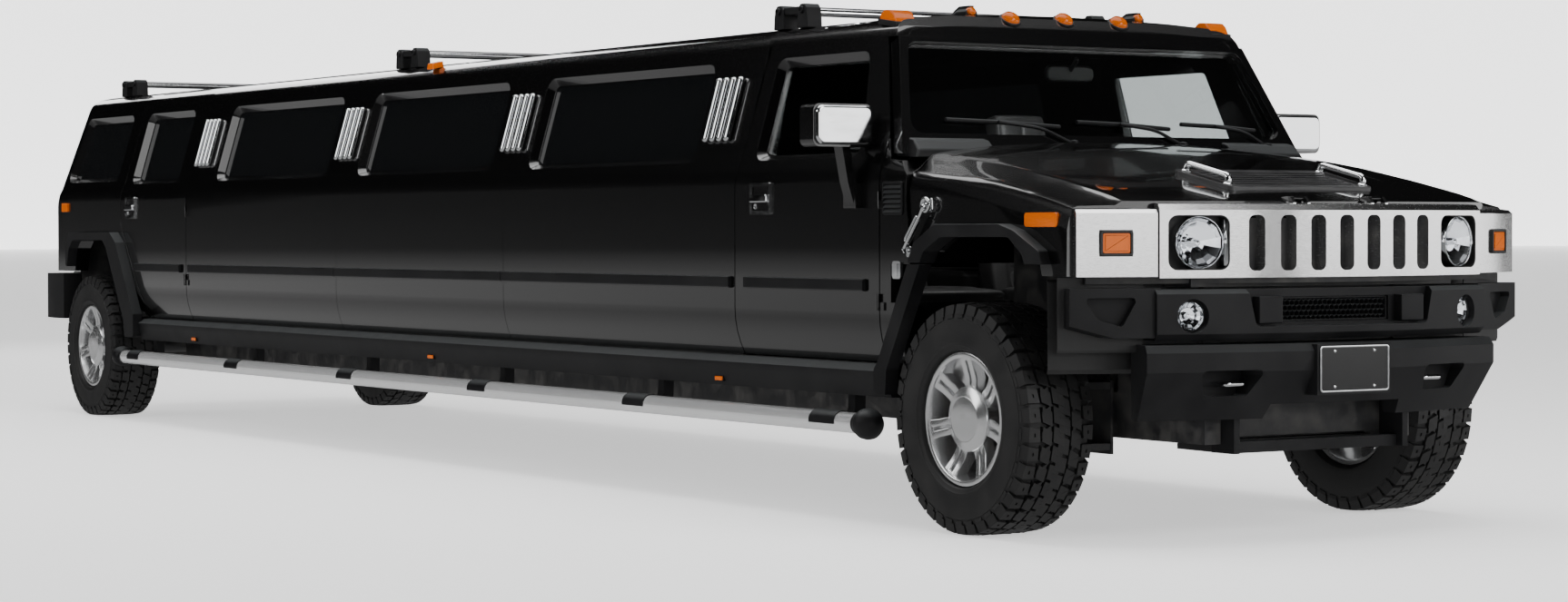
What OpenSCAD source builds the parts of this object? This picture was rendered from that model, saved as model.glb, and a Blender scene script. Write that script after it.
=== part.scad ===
// Stretch limousine with a long cabin, built as separate named pieces. Millimetres.
// X is forward, Y is left, Z is up, the ground is z = 0, the origin is the middle of the footprint.
// Pieces are drawn from the front axle, on the right-hand side first, then moved by place().

/* [Overall] */
// distance between the front and the rear axle
wheelbase = 8700; // [8000:50:9400]
// front axle to the foremost point of the bumper
front_overhang = 880; // [870:2:890]
// rear axle to the rearmost point of the bumper
rear_overhang = 860; // [850:2:870]
// half width over the lower body sides
half_w = 970; // [960:1:980]
// height of the seam between the doors and the roof
roof_z = 1775; // [1765:1:1785]
// height of the shoulder line under the windows
belt_z = 1310; // [1300:1:1320]
// height of the lower edge of the doors
sill_z = 582; // [576:1:588]

/* [Walls] */
// thickness of the lower doors and walls
wall_t = 80; // [70:1:88]
// thickness of the walls at the roof seam
house_t = 48; // [44:1:54]
// shut line round the doors, hood and tailgate
door_gap = 6; // [5:0.5:8]
// gap between a piece and the seat it rests in
seat_gap = 0.3; // [0.2:0.1:0.5]
// thickness of the glass
glass_t = 6; // [5:0.5:8]

/* [Windows] */
// number of long windows on each side
windows = 3; // [2:1:4]
// length of the blank post between two long windows
post_len = 350; // [330:5:380]
// width of the sloped frame round each window
bevel = 30; // [24:1:34]

/* [Wheels] */
// outer radius of the tyres
tyre_r = 404; // [396:1:408]
// width of the tyres
tyre_w = 286; // [270:2:294]
// radius of the rim at the outer lip
rim_r = 236; // [228:1:240]
// distance between the left and right wheel planes
track = 1763; // [1740:1:1775]
// number of spokes
spokes = 7; // [5:1:9]
// radius of the wheel centre caps
hub_r = 116; // [100:1:120]
// radius of the wheel spindles
spindle_r = 34; // [30:0.5:38]
// radial clearance of the spindles and kingpins
run_gap = 0.4; // [0.2:0.1:0.6]
// distance from the wheel plane inboard to the kingpin
king_off = 82; // [78:1:86]

/* [Front] */
// plan radius of the whole front face
face_r = 2440; // [2300:20:2600]
// thickness of the grille
grille_t = 52; // [46:1:56]
// number of grille slots
slots = 7; // [5:1:9]
// distance between two grille slots
slot_pitch = 125; // [118:1:128]
// diameter of the round headlamps
lamp_d = 172; // [160:1:176]

/* [Fittings] */
// radius of the side step tubes
step_r = 37; // [32:0.5:40]
// radius of the roof cross bars
bar_r = 19; // [16:0.5:22]
// inside width of the tow receiver
receiver = 51; // [50.8:0.1:52]
// radius of the number plate bolt holes
plate_hole_r = 3.5; // [3:0.1:4]

/* [Hidden] */
$fn = 48;
front_x = (wheelbase + rear_overhang - front_overhang) / 2;
rear = -wheelbase;
belt_half = half_w - 20;
edge_half = half_w - 155;
lean = atan((belt_half - edge_half) / (roof_z - belt_z));
tuck_r = 403;
tuck_z = sill_z + 178;
axle_z = tyre_r;
wheel_y = track / 2;
king_y = wheel_y - king_off;
well_y = wheel_y - tyre_w / 2 - 118;
rake = 25.4;
glass_x = -500;
glass_z = 1412;
pillar_t = 60;
fd_f = -577;
fd_r = -1590;
rd_f = rear + 1366;
rd_r = rear + 368;
back_x = -rear_overhang + 180 + rear;
back_z = 1210;
back_lean = 0.23;
face_x = front_overhang - 35;
hood_x = face_x - grille_t - door_gap;
hood_z = 1166;
panel_f = fd_r - door_gap;
panel_r = rd_f + door_gap;
pitch = (panel_f - panel_r - post_len) / windows;
win_len = pitch - post_len;
win_z0 = belt_z + 16;
win_z1 = roof_z - 44;
floor_z = 560;
lip = 3;
rail_z = 330;
rail_h = 160;
rail_y = 430;
steel = [0.32, 0.33, 0.35];
dark = [0.07, 0.07, 0.08];
paint = [0.02, 0.02, 0.022];
chrome = [0.86, 0.87, 0.88];
glass = [0.10, 0.12, 0.13, 0.55];
amber = [0.95, 0.48, 0.05];
leather = [0.16, 0.15, 0.15];

// Points of an arc, of a rounded corner and of a polygon with rounded corners.
function arc(cx, cz, r, a0, a1, n) =
  [for (i = [0 : n]) [cx + r * cos(a0 + (a1 - a0) * i / n), cz + r * sin(a0 + (a1 - a0) * i / n)]];
function unit(v) = v / norm(v);
function corner(p0, p, p1, r, n) =
  let (a = unit(p0 - p), b = unit(p1 - p), h = acos(a * b) / 2)
  let (c = p + unit(a + b) * r / sin(h), s = p + a * r / tan(h), e = p + b * r / tan(h))
  let (a0 = atan2(s[1] - c[1], s[0] - c[0]), a1 = atan2(e[1] - c[1], e[0] - c[0]))
  let (da = (a1 - a0 + 540) % 360 - 180)
  [for (i = [0 : n]) c + r * [cos(a0 + da * i / n), sin(a0 + da * i / n)]];
function soft(p, r, n = 5) =
  [for (i = [0 : len(p) - 1]) each corner(p[(i + len(p) - 1) % len(p)], p[i], p[(i + 1) % len(p)], r, n)];
function flip(p) = [for (i = [len(p) - 1 : -1 : 0]) p[i]];
function sag(y) = face_r - sqrt(face_r * face_r - y * y);

// Helpers that turn flat outlines into bars along X, Y and the sloped window plane.
module place() {
  translate([front_x, 0, 0]) children();
}
module pair() {
  children();
  mirror([0, 1, 0]) children();
}
module along_x(x0, x1) {
  translate([x0, 0, 0]) rotate([90, 0, 90]) linear_extrude(x1 - x0) children();
}
module along_y(y0, y1) {
  translate([0, y1, 0]) rotate([90, 0, 0]) linear_extrude(y1 - y0) children();
}
module box(x0, x1, y0, y1, z0, z1) {
  translate([x0, y0, z0]) cube([x1 - x0, y1 - y0, z1 - z0]);
}
module rod_x(x0, x1, y, z, r) {
  translate([x0, y, z]) rotate([0, 90, 0]) cylinder(r = r, h = x1 - x0);
}
module rod_y(x, y0, y1, z, r) {
  translate([x, y1, z]) rotate([90, 0, 0]) cylinder(r = r, h = y1 - y0);
}
module on_house(n0, n1) {
  translate([0, -belt_half, belt_z]) rotate([90 - lean, 0, 0]) translate([0, 0, n0]) linear_extrude(n1 - n0)
    children();
}
module face_turn(half_a) {
  translate([face_x - face_r, 0, 0]) rotate([0, 0, -half_a]) rotate_extrude(angle = 2 * half_a, $fn = 360)
    children();
}
function up(z) = (z - belt_z) / cos(lean);

// Cross-section of the body side, outer skin from the sill to the roof seam and the inner face back.
skin = concat(arc(half_w - tuck_r, tuck_z, tuck_r, -asin((tuck_z - sill_z) / tuck_r), 0, 4),
  [[half_w, belt_z - 75], [half_w - 6, belt_z - 30], [belt_half, belt_z], [edge_half, roof_z]]);
inside = [[half_w - 40 - wall_t, sill_z], [half_w - wall_t, tuck_z], [half_w - wall_t, belt_z - 75],
  [belt_half - wall_t, belt_z], [edge_half - house_t, roof_z]];
module side_slab(x0, x1) {
  along_x(x0, x1) polygon([for (p = concat(skin, flip(inside))) [-p[0], p[1]]]);
}
module side_fill(x0, x1) {
  along_x(x0, x1) polygon([for (p = concat(skin, [[0, roof_z], [0, sill_z]])) [-p[0], p[1]]]);
}

// Door outlines grown by g; the inner face is shorter at the rear so that the edge clears as it swings.
function front_door(g, s) = [[fd_f + g, sill_z - g], [fd_f + g, 1412], [fd_f - 168 + g, roof_z + g],
  [fd_r - g + s, roof_z + g], [fd_r - g + s, sill_z - g]];
function rear_door(g, s) = [[rd_f + g, sill_z - g], [rd_f + g, roof_z + g], [rd_r - g + s, roof_z + g],
  [rd_r - g + s, 1110 - g + s], [rd_r + 402 - g + s, sill_z - g]];
module door_zone(outer, inner) {
  hull() {
    along_y(-half_w - 30, -half_w - 29) polygon(outer);
    along_y(-half_w + 299, -half_w + 300) polygon(inner);
  }
}
module front_zone(g) {
  door_zone(front_door(g, 0), front_door(g, 66));
}
module rear_zone(g) {
  door_zone(rear_door(g, 0), rear_door(g, 66));
}

// Door hinges on a vertical line just outside the skin: the fixed half with its pin and the half on the
// door.
hinge_y = half_w + 8;
hinge_z = [800, 1170];
module hinge_fixed(x) {
  for (z = hinge_z) {
    translate([x, -hinge_y, z - 30]) cylinder(r = 7, h = 29.5);
    translate([x, -hinge_y, z - 2]) cylinder(r = 3.5, h = 28);
    box(x, x + 36, -half_w - 6, -half_w - 1, z - 30, z - 0.5);
    box(x + door_gap / 2 + 1, x + 36, -half_w - 6, -half_w + 10, z - 30, z - 0.5);
  }
}
module hinge_door(x) {
  difference() {
    union() {
      translate([x, -hinge_y, 0]) for (z = hinge_z) translate([0, 0, z]) cylinder(r = 7, h = 30);
      for (z = hinge_z)
        box(x - 36, x, -half_w - 6, -half_w + 10, z, z + 30);
    }
    for (z = hinge_z) {
      translate([x, -hinge_y, z - 1]) cylinder(r = 3.5 + run_gap, h = 32);
      box(x - 3, x + 20, -half_w - 0.5, -half_w + 40, z - 1, z + 31);
    }
  }
}

// Window outlines on the sloped plane; i is the inset from the outer edge of the sloped frame.
function win_long(x, i) = soft([[x - win_len / 2 + i, up(win_z0) + i], [x + win_len / 2 - i,
  up(win_z0) + i],
  [x + win_len / 2 - i, up(win_z1) - i], [x - win_len / 2 + i, up(win_z1) - i]], 62 - i);
function win_front(i) = soft([[fd_r + 105 + i, up(win_z0) + i], [fd_f - 152 - i, up(win_z0) + i],
  [fd_f - 262 - i, up(win_z1) - i], [fd_r + 105 + i, up(win_z1) - i]], 56 - i);
function win_rear(i) = soft([[rd_r + 110 + i, up(win_z0) + i], [rd_f - 176 - i, up(win_z0) + i],
  [rd_f - 176 - i, up(win_z1) - i], [rd_r + 110 + i, up(win_z1) - i]], 56 - i);
function win_quarter(i) = soft([[back_x + 85 + i, up(win_z0 + 20) + i], [rd_r - 118 - i,
  up(win_z0 + 20) + i],
  [rd_r - 118 - i, up(win_z1) - i], [back_x + 170 + i, up(win_z1) - i]], 56 - i);
module bevel_cut(outer, inner, hole) {
  hull() {
    on_house(4, 5) polygon(outer);
    on_house(-bevel - 1, -bevel) polygon(inner);
  }
  on_house(-200, -bevel / 2) polygon(hole);
}
module pane(p) {
  on_house(-bevel - glass_t - 4, -bevel - 4) polygon(p);
}
function win_x(i) = panel_f - post_len / 2 - pitch * (i + 0.5);
function post_x(i) = panel_f - post_len / 2 - pitch * i;

// Wheel arch outlines: the opening and the outer edge of the flare.
arch_f = soft([[400, 880], [372, 975], [290, 1036], [-110, 1036], [-215, 985], [-452, 560], [-474, 300],
  [400, 300]], 40);
flare_f = soft([[505, 900], [462, 992], [322, 1060], [236, 1082], [-150, 1082], [-276, 1018], [-508,
  588], [-534, 560],
  [-534, 470], [-300, 470], [400, 880]], 20);
arch_r = soft([[rear - 440, 300], [rear - 430, 700], [rear - 345, 960], [rear - 280, 1012], [rear + 215,
  1012],
  [rear + 275, 965], [rear + 545, 570], [rear + 600, 300]], 36);
flare_r = soft([[rear - 400, 860], [rear - 410, 1000], [rear - 330, 1058], [rear + 330, 1058],
  [rear + 425, 1000], [rear + 700, 598], [rear + 700, 470], [rear + 500, 470], [rear - 100, 700],
  [rear - 380, 860]], 18);

// Ladder frame: two rails with cross members, stopping short of the bumpers.
module chassis_frame() {
  color(steel) {
    pair() difference() {
      box(rear - 640, 650, -rail_y - 35, -rail_y + 35, rail_z, rail_z + rail_h);
      box(rear - 75, rear + 75, -rail_y - 60, -rail_y + 60, rail_z - 10, axle_z + 56);
    }
    for (i = [0 : 7])
      let (x = 560 + i * (rear - 1160) / 7)
        box(x - 40, x + 40, -rail_y + 35 + seat_gap, rail_y - 35 - seat_gap, rail_z + 20,
          rail_z + rail_h - 20);
  }
}

// Engine, one plain block resting on the rails.
module engine_block() {
  color(steel) {
    box(-330, 470, -rail_y + 40, rail_y - 40, rail_z + rail_h + seat_gap, 1020);
    pair() box(-20, 120, -rail_y - 30, -rail_y + 40, rail_z + rail_h + seat_gap, 560);
  }
}

// Upper and lower arms with eyes for the kingpins, held by brackets on the rails.
module arm(z) {
  difference() {
    union() {
      translate([0, 0, z]) linear_extrude(24)
        polygon([[-150, -rail_y - 40], [150, -rail_y - 40], [28, -king_y + 40], [28, -king_y], [-28,
          -king_y],
          [-28, -king_y + 40]]);
      translate([0, -king_y, z]) cylinder(r = 28, h = 24);
    }
    translate([0, -king_y, z - 1]) cylinder(r = 14 + run_gap, h = 26);
  }
}
module front_suspension() {
  color(steel) pair() {
    arm(axle_z - 120);
    arm(axle_z + 96);
    box(-150, 150, -rail_y - 47, -rail_y - 35 - seat_gap, axle_z - 134, axle_z + 126);
  }
}

// Rear axle tube with its middle casing, springs and spindles.
module rear_axle() {
  color(steel) translate([rear, 0, 0]) {
    rod_y(0, -wheel_y + 130, wheel_y - 130, axle_z, 48);
    translate([0, 0, axle_z]) sphere(r = 108, $fn = 32);
    pair() {
      rod_y(0, -wheel_y - 40, -wheel_y + 131, axle_z, spindle_r);
      rod_y(0, -wheel_y + 108, -wheel_y + 131, axle_z, 95);
      box(-60, 60, -rail_y - 33, -rail_y + 33, axle_z + 30, axle_z + 56 - seat_gap);
    }
  }
}

// Floor of the cabin with the rocker boxes, cut out for the rear wheels.
module floor_pan() {
  color(dark) difference() {
    union() {
      box(back_x + 80, -500 - seat_gap, -half_w + wall_t + 45, half_w - wall_t - 45, floor_z - 40, floor_z);
      pair() box(rear + 690, -575, -half_w + 45, -half_w + wall_t + 46, 480, sill_z - door_gap);
      pair() box(panel_r + 20, panel_f - 20, -half_w + 55, -half_w + wall_t + 40, 560, sill_z - seat_gap);
      pair() box(rear - 560, -520, -rail_y - 30, -rail_y + 30, rail_z + rail_h + seat_gap, floor_z - 39);
    }
    pair() box(rear - 520, rear + 620, -half_w, -well_y, 300, 700);
  }
}

// Wheel houses over the rear wheels and inner walls beside the front wheels.
module wheel_houses() {
  color(dark) pair() {
    difference() {
      union() {
        box(rear - 520 + seat_gap, rear + 620 - seat_gap, -half_w + wall_t + 42, -well_y - seat_gap,
          floor_z - 40, 1060);
        box(rear - 520 + seat_gap, rear + 620 - seat_gap, -half_w + wall_t + seat_gap, -well_y - 30,
          tuck_z, 1060);
      }
      box(rear - 500, rear + 600, -half_w, -well_y - 20, 300, 1040);
    }
    box(-400, 585, -rail_y - 65, -rail_y - 53, rail_z + rail_h + 70, 1060);
    for (x = [-390, 200])
      box(x, x + 190, -rail_y - 54, -rail_y - 30, rail_z + rail_h + seat_gap, rail_z + rail_h + 82);
  }
}

// Hood stations from the cowl to the grille: x, share of the front arc, centre height, then the creases
// and the side as distances from the body width.
hood_rows = [[-396, 0, 1385, -115, 1331, -40, 1273, -10], [-250, 0.05, 1368, -119, 1318, -36, 1262, -8],
  [-100, 0.1, 1345, -124, 1302, -32, 1250, -5], [40, 0.17, 1320, -129, 1284, -29, 1237, -3],
  [180, 0.25, 1291, -134, 1263, -25, 1221, 0], [320, 0.4, 1263, -139, 1242, -20, 1203, 4],
  [440, 0.55, 1238, -144, 1223, -14, 1186, 8], [550, 0.7, 1214, -147, 1205, -8, 1170, 12],
  [650, 0.83, 1192, -150, 1188, -3, 1155, 16], [730, 0.94, 1173, -153, 1172, 1, 1142, 19],
  [hood_x, 1, 1156, -155, 1156, 4, 1132, 21]];
hood_low = 905;
function hw(d) = half_w + d;
function hood_out(r) = [[0, r[2]], [hw(r[3]) * 0.35, r[2] - (r[2] - r[4]) * 0.07], [hw(r[3]) * 0.7,
  r[2] - (r[2] - r[4]) * 0.35],
  [hw(r[3]) - 30, r[4] + (r[2] - r[4]) * 0.18], [hw(r[3]), r[4]], [hw(r[3]) + 24,
    r[4] - 10 - (r[4] - r[6]) * 0.15],
  [hw(r[5]) - 16, r[6] + 8], [hw(r[5]), r[6]], [hw(r[7]) - 8, r[6] - 26], [hw(r[7]), r[6] - 70],
    [hw(r[7]) + 2, hood_low]];
function hood_in(r) = [[0, r[2] - 30], [hw(r[3]) * 0.35, r[2] - 30 - (r[2] - r[4]) * 0.07],
  [hw(r[3]) * 0.7, r[2] - 30 - (r[2] - r[4]) * 0.35], [hw(r[3]) - 38, r[4] - 30 + (r[2] - r[4]) * 0.18],
  [hw(r[3]) - 14, r[4] - 30], [hw(r[3]) + 10, r[4] - 38 - (r[4] - r[6]) * 0.15], [hw(r[5]) - 34, r[6] - 22],
  [hw(r[5]) - 26, r[6] - 30], [hw(r[7]) - 36, r[6] - 48], [hw(r[7]) - 30, r[6] - 78], [hw(r[7]) - 28,
    hood_low]];
function full(h) = concat([for (p = flip(h)) [-p[0], p[1]]], [for (i = [1 : len(h) - 1]) h[i]]);
function hood_pt(r, p) = [r[0] - r[1] * sag(p[0]) + (r[1] == 0 ? max(0, hood_z - p[1]) * 0.12 : 0), p[0],
  p[1]];
hood_n = 21;
hood_pts = [for (r = hood_rows) each concat([for (p = full(hood_out(r))) hood_pt(r, p)],
  [for (p = full(hood_in(r))) hood_pt(r, p)])];
function quad(a, b, c, d) = [[a, b, c], [a, c, d]];
hood_faces = concat(
  [for (s = [0 : len(hood_rows) - 2]) each [for (i = [0 : hood_n - 2]) each
    let (o = s * 2 * hood_n, q = o + 2 * hood_n)
    concat(quad(o + i, q + i, q + i + 1, o + i + 1),
      quad(o + hood_n + i + 1, q + hood_n + i + 1, q + hood_n + i, o + hood_n + i))]],
  [for (s = [0 : len(hood_rows) - 2]) each
    let (o = s * 2 * hood_n, q = o + 2 * hood_n, e = hood_n - 1)
    concat(quad(o + e, q + e, q + hood_n + e, o + hood_n + e), quad(o + hood_n, q + hood_n, q, o))],
  [for (i = [0 : hood_n - 2]) each quad(i, i + 1, hood_n + i + 1, hood_n + i)],
  [for (i = [0 : hood_n - 2]) each
    let (q = (len(hood_rows) - 1) * 2 * hood_n)
    quad(q + i + 1, q + i, q + hood_n + i, q + hood_n + i + 1)]);

// Clamshell hood with the front fenders, hinged at its front edge.
module hood_shell() {
  color(paint) difference() {
    polyhedron(points = hood_pts, faces = hood_faces);
    along_y(-1100, 1100) polygon(arch_f);
    box(-420, -200, -1100, 1100, 800, 945);
    pair() along_y(-half_w - 130, -half_w + 12) polygon(flare_f);
    pair() along_y(-half_w - 60, -half_w + 60) polygon(soft(marker_f(0), 12));
    translate([0, 0, 1000]) linear_extrude(400) polygon(vent_out(0));
  }
  color(paint) pair() hood_eye();
}

// Wide flares round the front wheels, the part that lifts with the hood.
module hood_flares() {
  color(dark) pair() intersection() {
    difference() {
      along_y(-half_w - 58, -half_w + 12) polygon(flare_f);
      along_y(-half_w - 90, -half_w + 90) polygon(arch_f);
    }
    box(-420, 600, -half_w - 90, -half_w + 90, 945, 1200);
  }
}

// Black louvred vent panel let into the middle of the hood; the handles stand on its flat face.
vent_x0 = 328;
vent_x1 = 622;
vent_y = 345;
vent_a = 12.2;
function vent_out(i) = soft([[vent_x0 + i, -vent_y + i], [vent_x1 - i, -vent_y + 20 + i],
  [vent_x1 - i, vent_y - 20 - i], [vent_x0 + i, vent_y - i]], 26);
module vent_plane() {
  translate([vent_x0, 0, 1264]) rotate([0, vent_a, 0]) children();
}
module hood_vent() {
  color(dark) intersection() {
    translate([0, 0, 1000]) linear_extrude(400) polygon(vent_out(seat_gap));
    difference() {
      vent_plane() box(-50, 400, -400, 400, -34, 8);
      for (i = [0 : 5])
        vent_plane() translate([46 + i * 38, 0, 0]) rotate([0, 28, 0]) box(0, 16, -270, 270, -14, 30);
    }
  }
}

// Two bright handles on the vent panel.
module hood_handles() {
  color(chrome) pair() vent_plane() {
    box(16, 272, -318, -296, 30, 44);
    box(16, 42, -318, -296, 8 + seat_gap, 31);
    box(246, 272, -318, -296, 8 + seat_gap, 31);
  }
}

// Amber side markers in the fenders.
function marker_f(i) = [[336 + i, 1070 + i], [520 - i, 1070 + i], [520 - i, 1120 - i], [336 + i, 1120 - i]];
module hood_markers() {
  color(amber) pair() along_y(-half_w - 22, -half_w + 20) polygon(soft(marker_f(seat_gap), 12));
}

// Firewall, cowl top behind the hood and the short body sides in front of the doors.
module cowl() {
  color(paint) difference() {
    union() {
      intersection() {
        pair() side_slab(-640, -380);
        along_y(-1200, 1200) polygon([[-640, 500], [-380, 500], [-380, 945 - door_gap], [-370,
          945 - door_gap],
          [-402, hood_z], [-402, 1262], [-455, 1312], [-531, 1318], [-571, 1395], [-640, 1395]]);
      }
      box(-500, -480, -half_w + wall_t - 4, half_w - wall_t + 4, floor_z - 39, 1300);
      along_x(-520, -402 - seat_gap)
        polygon(concat(full(hood_out(hood_rows[0])), flip(full(hood_in(hood_rows[0])))));
    }
    pair() front_zone(door_gap);
    along_y(-1200, 1200) polygon(arch_f);
    box(-500, -300, -1200, 1200, 800, 945 - door_gap);
  }
  color(paint) {
    pair() hinge_fixed(fd_f + door_gap / 2);
    intersection() {
      along_x(-412, -393) difference() {
        polygon([for (p = concat(full(hood_in(hood_rows[0])), [[half_w - 80, 900], [-half_w + 80,
          900]])) [p[0], p[1] - 0.7]]);
        polygon([for (p = concat(full(hood_in(hood_rows[0])), [[half_w - 80, 900], [-half_w + 80,
          900]])) [p[0] * 0.985, p[1] - 16]]);
      }
      box(-440, -380, -half_w + 150, half_w - 150, 1200, 1400);
    }
  }
}

// Windshield frame: both front pillars, the header and the bar along the cowl, in one sloped plane.
module on_shield(n0, n1) {
  translate([glass_x, 0, glass_z]) rotate([90 - rake, 0, 90]) translate([0, 0, n0]) linear_extrude(n1 - n0)
    children();
}
function vs(z) = (z - glass_z) / cos(rake);
function house_y(z) = belt_half - (z - belt_z) * tan(lean);
function shield(i) = soft([[-house_y(glass_z) + 38 + i, vs(glass_z) + i], [house_y(glass_z) - 38 - i,
  vs(glass_z) + i],
  [house_y(roof_z - 18) - 38 - i, vs(roof_z - 18) - i], [-house_y(roof_z - 18) + 38 + i,
    vs(roof_z - 18) - i]], 50 - i);
module windshield_frame() {
  color(paint) difference() {
    union() {
      on_shield(-pillar_t, 0) frame_face();
      difference() {
        along_x(-760, -640) polygon([for (p = concat(full(roof_in), [[740, roof_z - 26], [-740,
          roof_z - 26]]))
          [p[0], p[1] - seat_gap]]);
        brow_cut();
      }
    }
    on_shield(-pillar_t - 40, 40) polygon(shield(0));
    box(-700, -400, -1000, 1000, 1200, 1300 + 38);
    cowl_clear();
  }
}
module frame_face() {
  polygon([[-house_y(1332), vs(1332)], [house_y(1332), vs(1332)],
    [house_y(roof_z), vs(roof_z)], [-house_y(roof_z), vs(roof_z)]]);
}
module brow_cut() {
  along_y(-1000, 1000) polygon([[-656, roof_z - 60], [-500, roof_z - 60], [-500, roof_z + 200],
    [-800, roof_z + 200], [-800, roof_z + 112], [-752, roof_z + 88], [-706, roof_z + 42], [-686, roof_z]]);
}
module cowl_clear() {
  along_x(-600, -300) polygon(concat(full(hood_out(hood_rows[0])), [[900, 1200], [-900, 1200]]));
}

// Windshield and the fixed panes of the stretched sides and rear quarters.
module windshield() {
  color(glass) on_shield(-24 - glass_t, -24) polygon(shield(seat_gap));
}
module fixed_windows() {
  color(glass) pair() {
    for (i = [0 : windows - 1])
      pane(win_long(win_x(i), bevel + lip + seat_gap));
    pane(win_quarter(bevel + lip + seat_gap));
  }
}

// Roof in three panels that rest on the side walls and meet at narrow seams.
roof_in = [[0, roof_z + 62], [300, roof_z + 58], [edge_half - 135, roof_z + 38], [edge_half - 72,
  roof_z + 25],
  [edge_half - house_t, roof_z + seat_gap]];
roof_out = [[0, roof_z + 102], [250, roof_z + 99], [500, roof_z + 90], [edge_half - 115, roof_z + 77],
  [edge_half - 55, roof_z + 63], [edge_half - 24, roof_z + 46], [edge_half - 8, roof_z + 24],
  [edge_half, roof_z + seat_gap]];
module roof_panel() {
  color(paint) difference() {
    union() {
      for (s = [[back_x + 130, rd_f - 1.5], [rd_f + 1.5, fd_r - 1.5], [fd_r + 1.5, -600]])
        along_x(s[0], s[1]) polygon(concat(full(roof_out), flip(full(roof_in))));
      along_x(back_x + 132, back_x + 200) polygon([for (p = concat(full(roof_in), [[700, roof_z + 8],
        [-700, roof_z + 8]]))
        [p[0] * 0.995, p[1] + 2]]);
    }
    brow_cut();
    along_y(-1000, 1000) polygon([[back_x + 100, roof_z - 20], [back_x + 130, roof_z], [back_x + 162,
      roof_z + 60],
      [back_x + 210, roof_z + 92], [back_x + 260, roof_z + 120], [back_x + 100, roof_z + 120]]);
  }
  color(paint) for (y = gate_y) {
    rod_y(gate_x, y - 26, y + 26, gate_z, 5);
    for (s = [-1, 1])
      box(gate_x - 8, gate_x + 40, y + s * 27.5 - 5, y + s * 27.5 + 5, gate_z - 8, roof_z + 30);
  }
}

// Stretched body side with the long windows, in pieces that meet at the posts.
function seam(i) = i == 0 ? panel_f + 20 : i == windows ? panel_r - 20 : post_x(i);
module stretch_side() {
  difference() {
    union() {
      for (i = [0 : windows - 1])
        side_slab(seam(i + 1) + (i == windows - 1 ? 0 : 1.5), seam(i) - (i == 0 ? 0 : 1.5));
      for (i = [0 : windows - 1])
        moulding(max(seam(i + 1) + 3, panel_r + 50), min(seam(i) - 3, panel_f - 20));
    }
    front_zone(door_gap);
    rear_zone(door_gap);
    for (i = [0 : windows - 1])
      bevel_cut(win_long(win_x(i), 0), win_long(win_x(i), bevel), win_long(win_x(i), bevel + lip));
  }
  hinge_fixed(rd_f + door_gap / 2);
}
module moulding(x0, x1) {
  box(x0, x1, -half_w - 12, -half_w + 20, 838, 882);
}
module stretch_side_right() {
  color(paint) stretch_side();
}
module stretch_side_left() {
  color(paint) mirror([0, 1, 0]) stretch_side();
}

// Rear quarters: the side over the rear wheel with its window, and the corner post beside the tailgate.
function back_wall(t) = [[back_x, 830], [back_x, back_z], [back_x + (roof_z - back_z) * back_lean, roof_z],
  [back_x + (roof_z - back_z) * back_lean + t, roof_z], [back_x + t, back_z], [back_x + t, 830]];
gate_low = half_w - 180;
gate_top = edge_half - 165;
function gate(g) = [[-gate_low - g, 836 - g], [gate_low + g, 836 - g], [gate_low + g, belt_z],
  [gate_top + g, roof_z + 1 + g],
  [-gate_top - g, roof_z + 1 + g], [-gate_low - g, belt_z]];
module rear_quarter() {
  difference() {
    union() {
      intersection() {
        side_slab(back_x - 10, rd_r + 480);
        along_y(-1200, 0) polygon([[back_x, 830], [back_x, back_z],
          [back_x + (roof_z - back_z) * back_lean, roof_z],
          [rd_r + 480, roof_z], [rd_r + 480, sill_z], [rear, sill_z], [rear, 830]]);
      }
      intersection() {
        side_fill(back_x - 10, back_x + 300);
        along_y(-1200, 0) polygon(back_wall(70));
        difference() {
          along_x(back_x - 10, back_x + 300) polygon([[-1200, 500], [0, 500], [0, 2000], [-1200, 2000]]);
          along_x(back_x - 20, back_x + 310) polygon(gate(door_gap));
        }
      }
    }
    rear_zone(door_gap);
    along_y(-1200, -500) polygon(arch_r);
    bevel_cut(win_quarter(0), win_quarter(bevel), win_quarter(bevel + lip));
    box(back_x - 20, back_x + 24, -half_w + 44, -half_w + 144, 940, 1190);
    along_y(-half_w - 50, -half_w + 14) polygon(soft(marker_r(0), 10));
  }
}
module rear_quarters() {
  color(paint) pair() rear_quarter();
}

// Plastic cladding: rocker covers, rear flares and the rear legs of the front arches.
rocker = [[half_w - 45 + seat_gap, sill_z - 8], [half_w - 20, sill_z - 8], [half_w + 22, 550],
  [half_w + 22, 522],
  [half_w - 4, 456], [half_w - 45 + seat_gap, 456]];
module cladding() {
  color(dark) pair() {
    difference() {
      union() {
        along_x(rear + 690, -500) polygon([for (p = rocker) [-p[0], p[1]]]);
        intersection() {
          along_y(-half_w - 54, -half_w - seat_gap) polygon(flare_f);
          box(-600, 0, -1200, 0, 400, 945 - door_gap);
        }
        along_y(-half_w - 54, -half_w - seat_gap) polygon(flare_r);
      }
      along_y(-1200, -500) polygon(arch_f);
      along_y(-1200, -500) polygon(arch_r);
      for (x = sill_lamps)
        box(x - 32, x + 32, -half_w - 40, -half_w + 10, 470, 494);
    }
  }
}

// Bright bars on the posts, four to a cluster.
module pillar_bars() {
  color(chrome) pair()
    for (i = [0 : windows])
      for (j = [-1.5 : 1 : 1.5])
        on_house(seat_gap, 24) polygon(soft([for (p = [[-15, 0], [15, 0], [15, 1], [-15, 1]])
          [(i == 0 ? -25 : i == windows ? -42 : 0) + post_x(i) + j * 54 + p[0],
            p[1] == 0 ? up(1408) : up(1664)]], 13));
}

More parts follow.
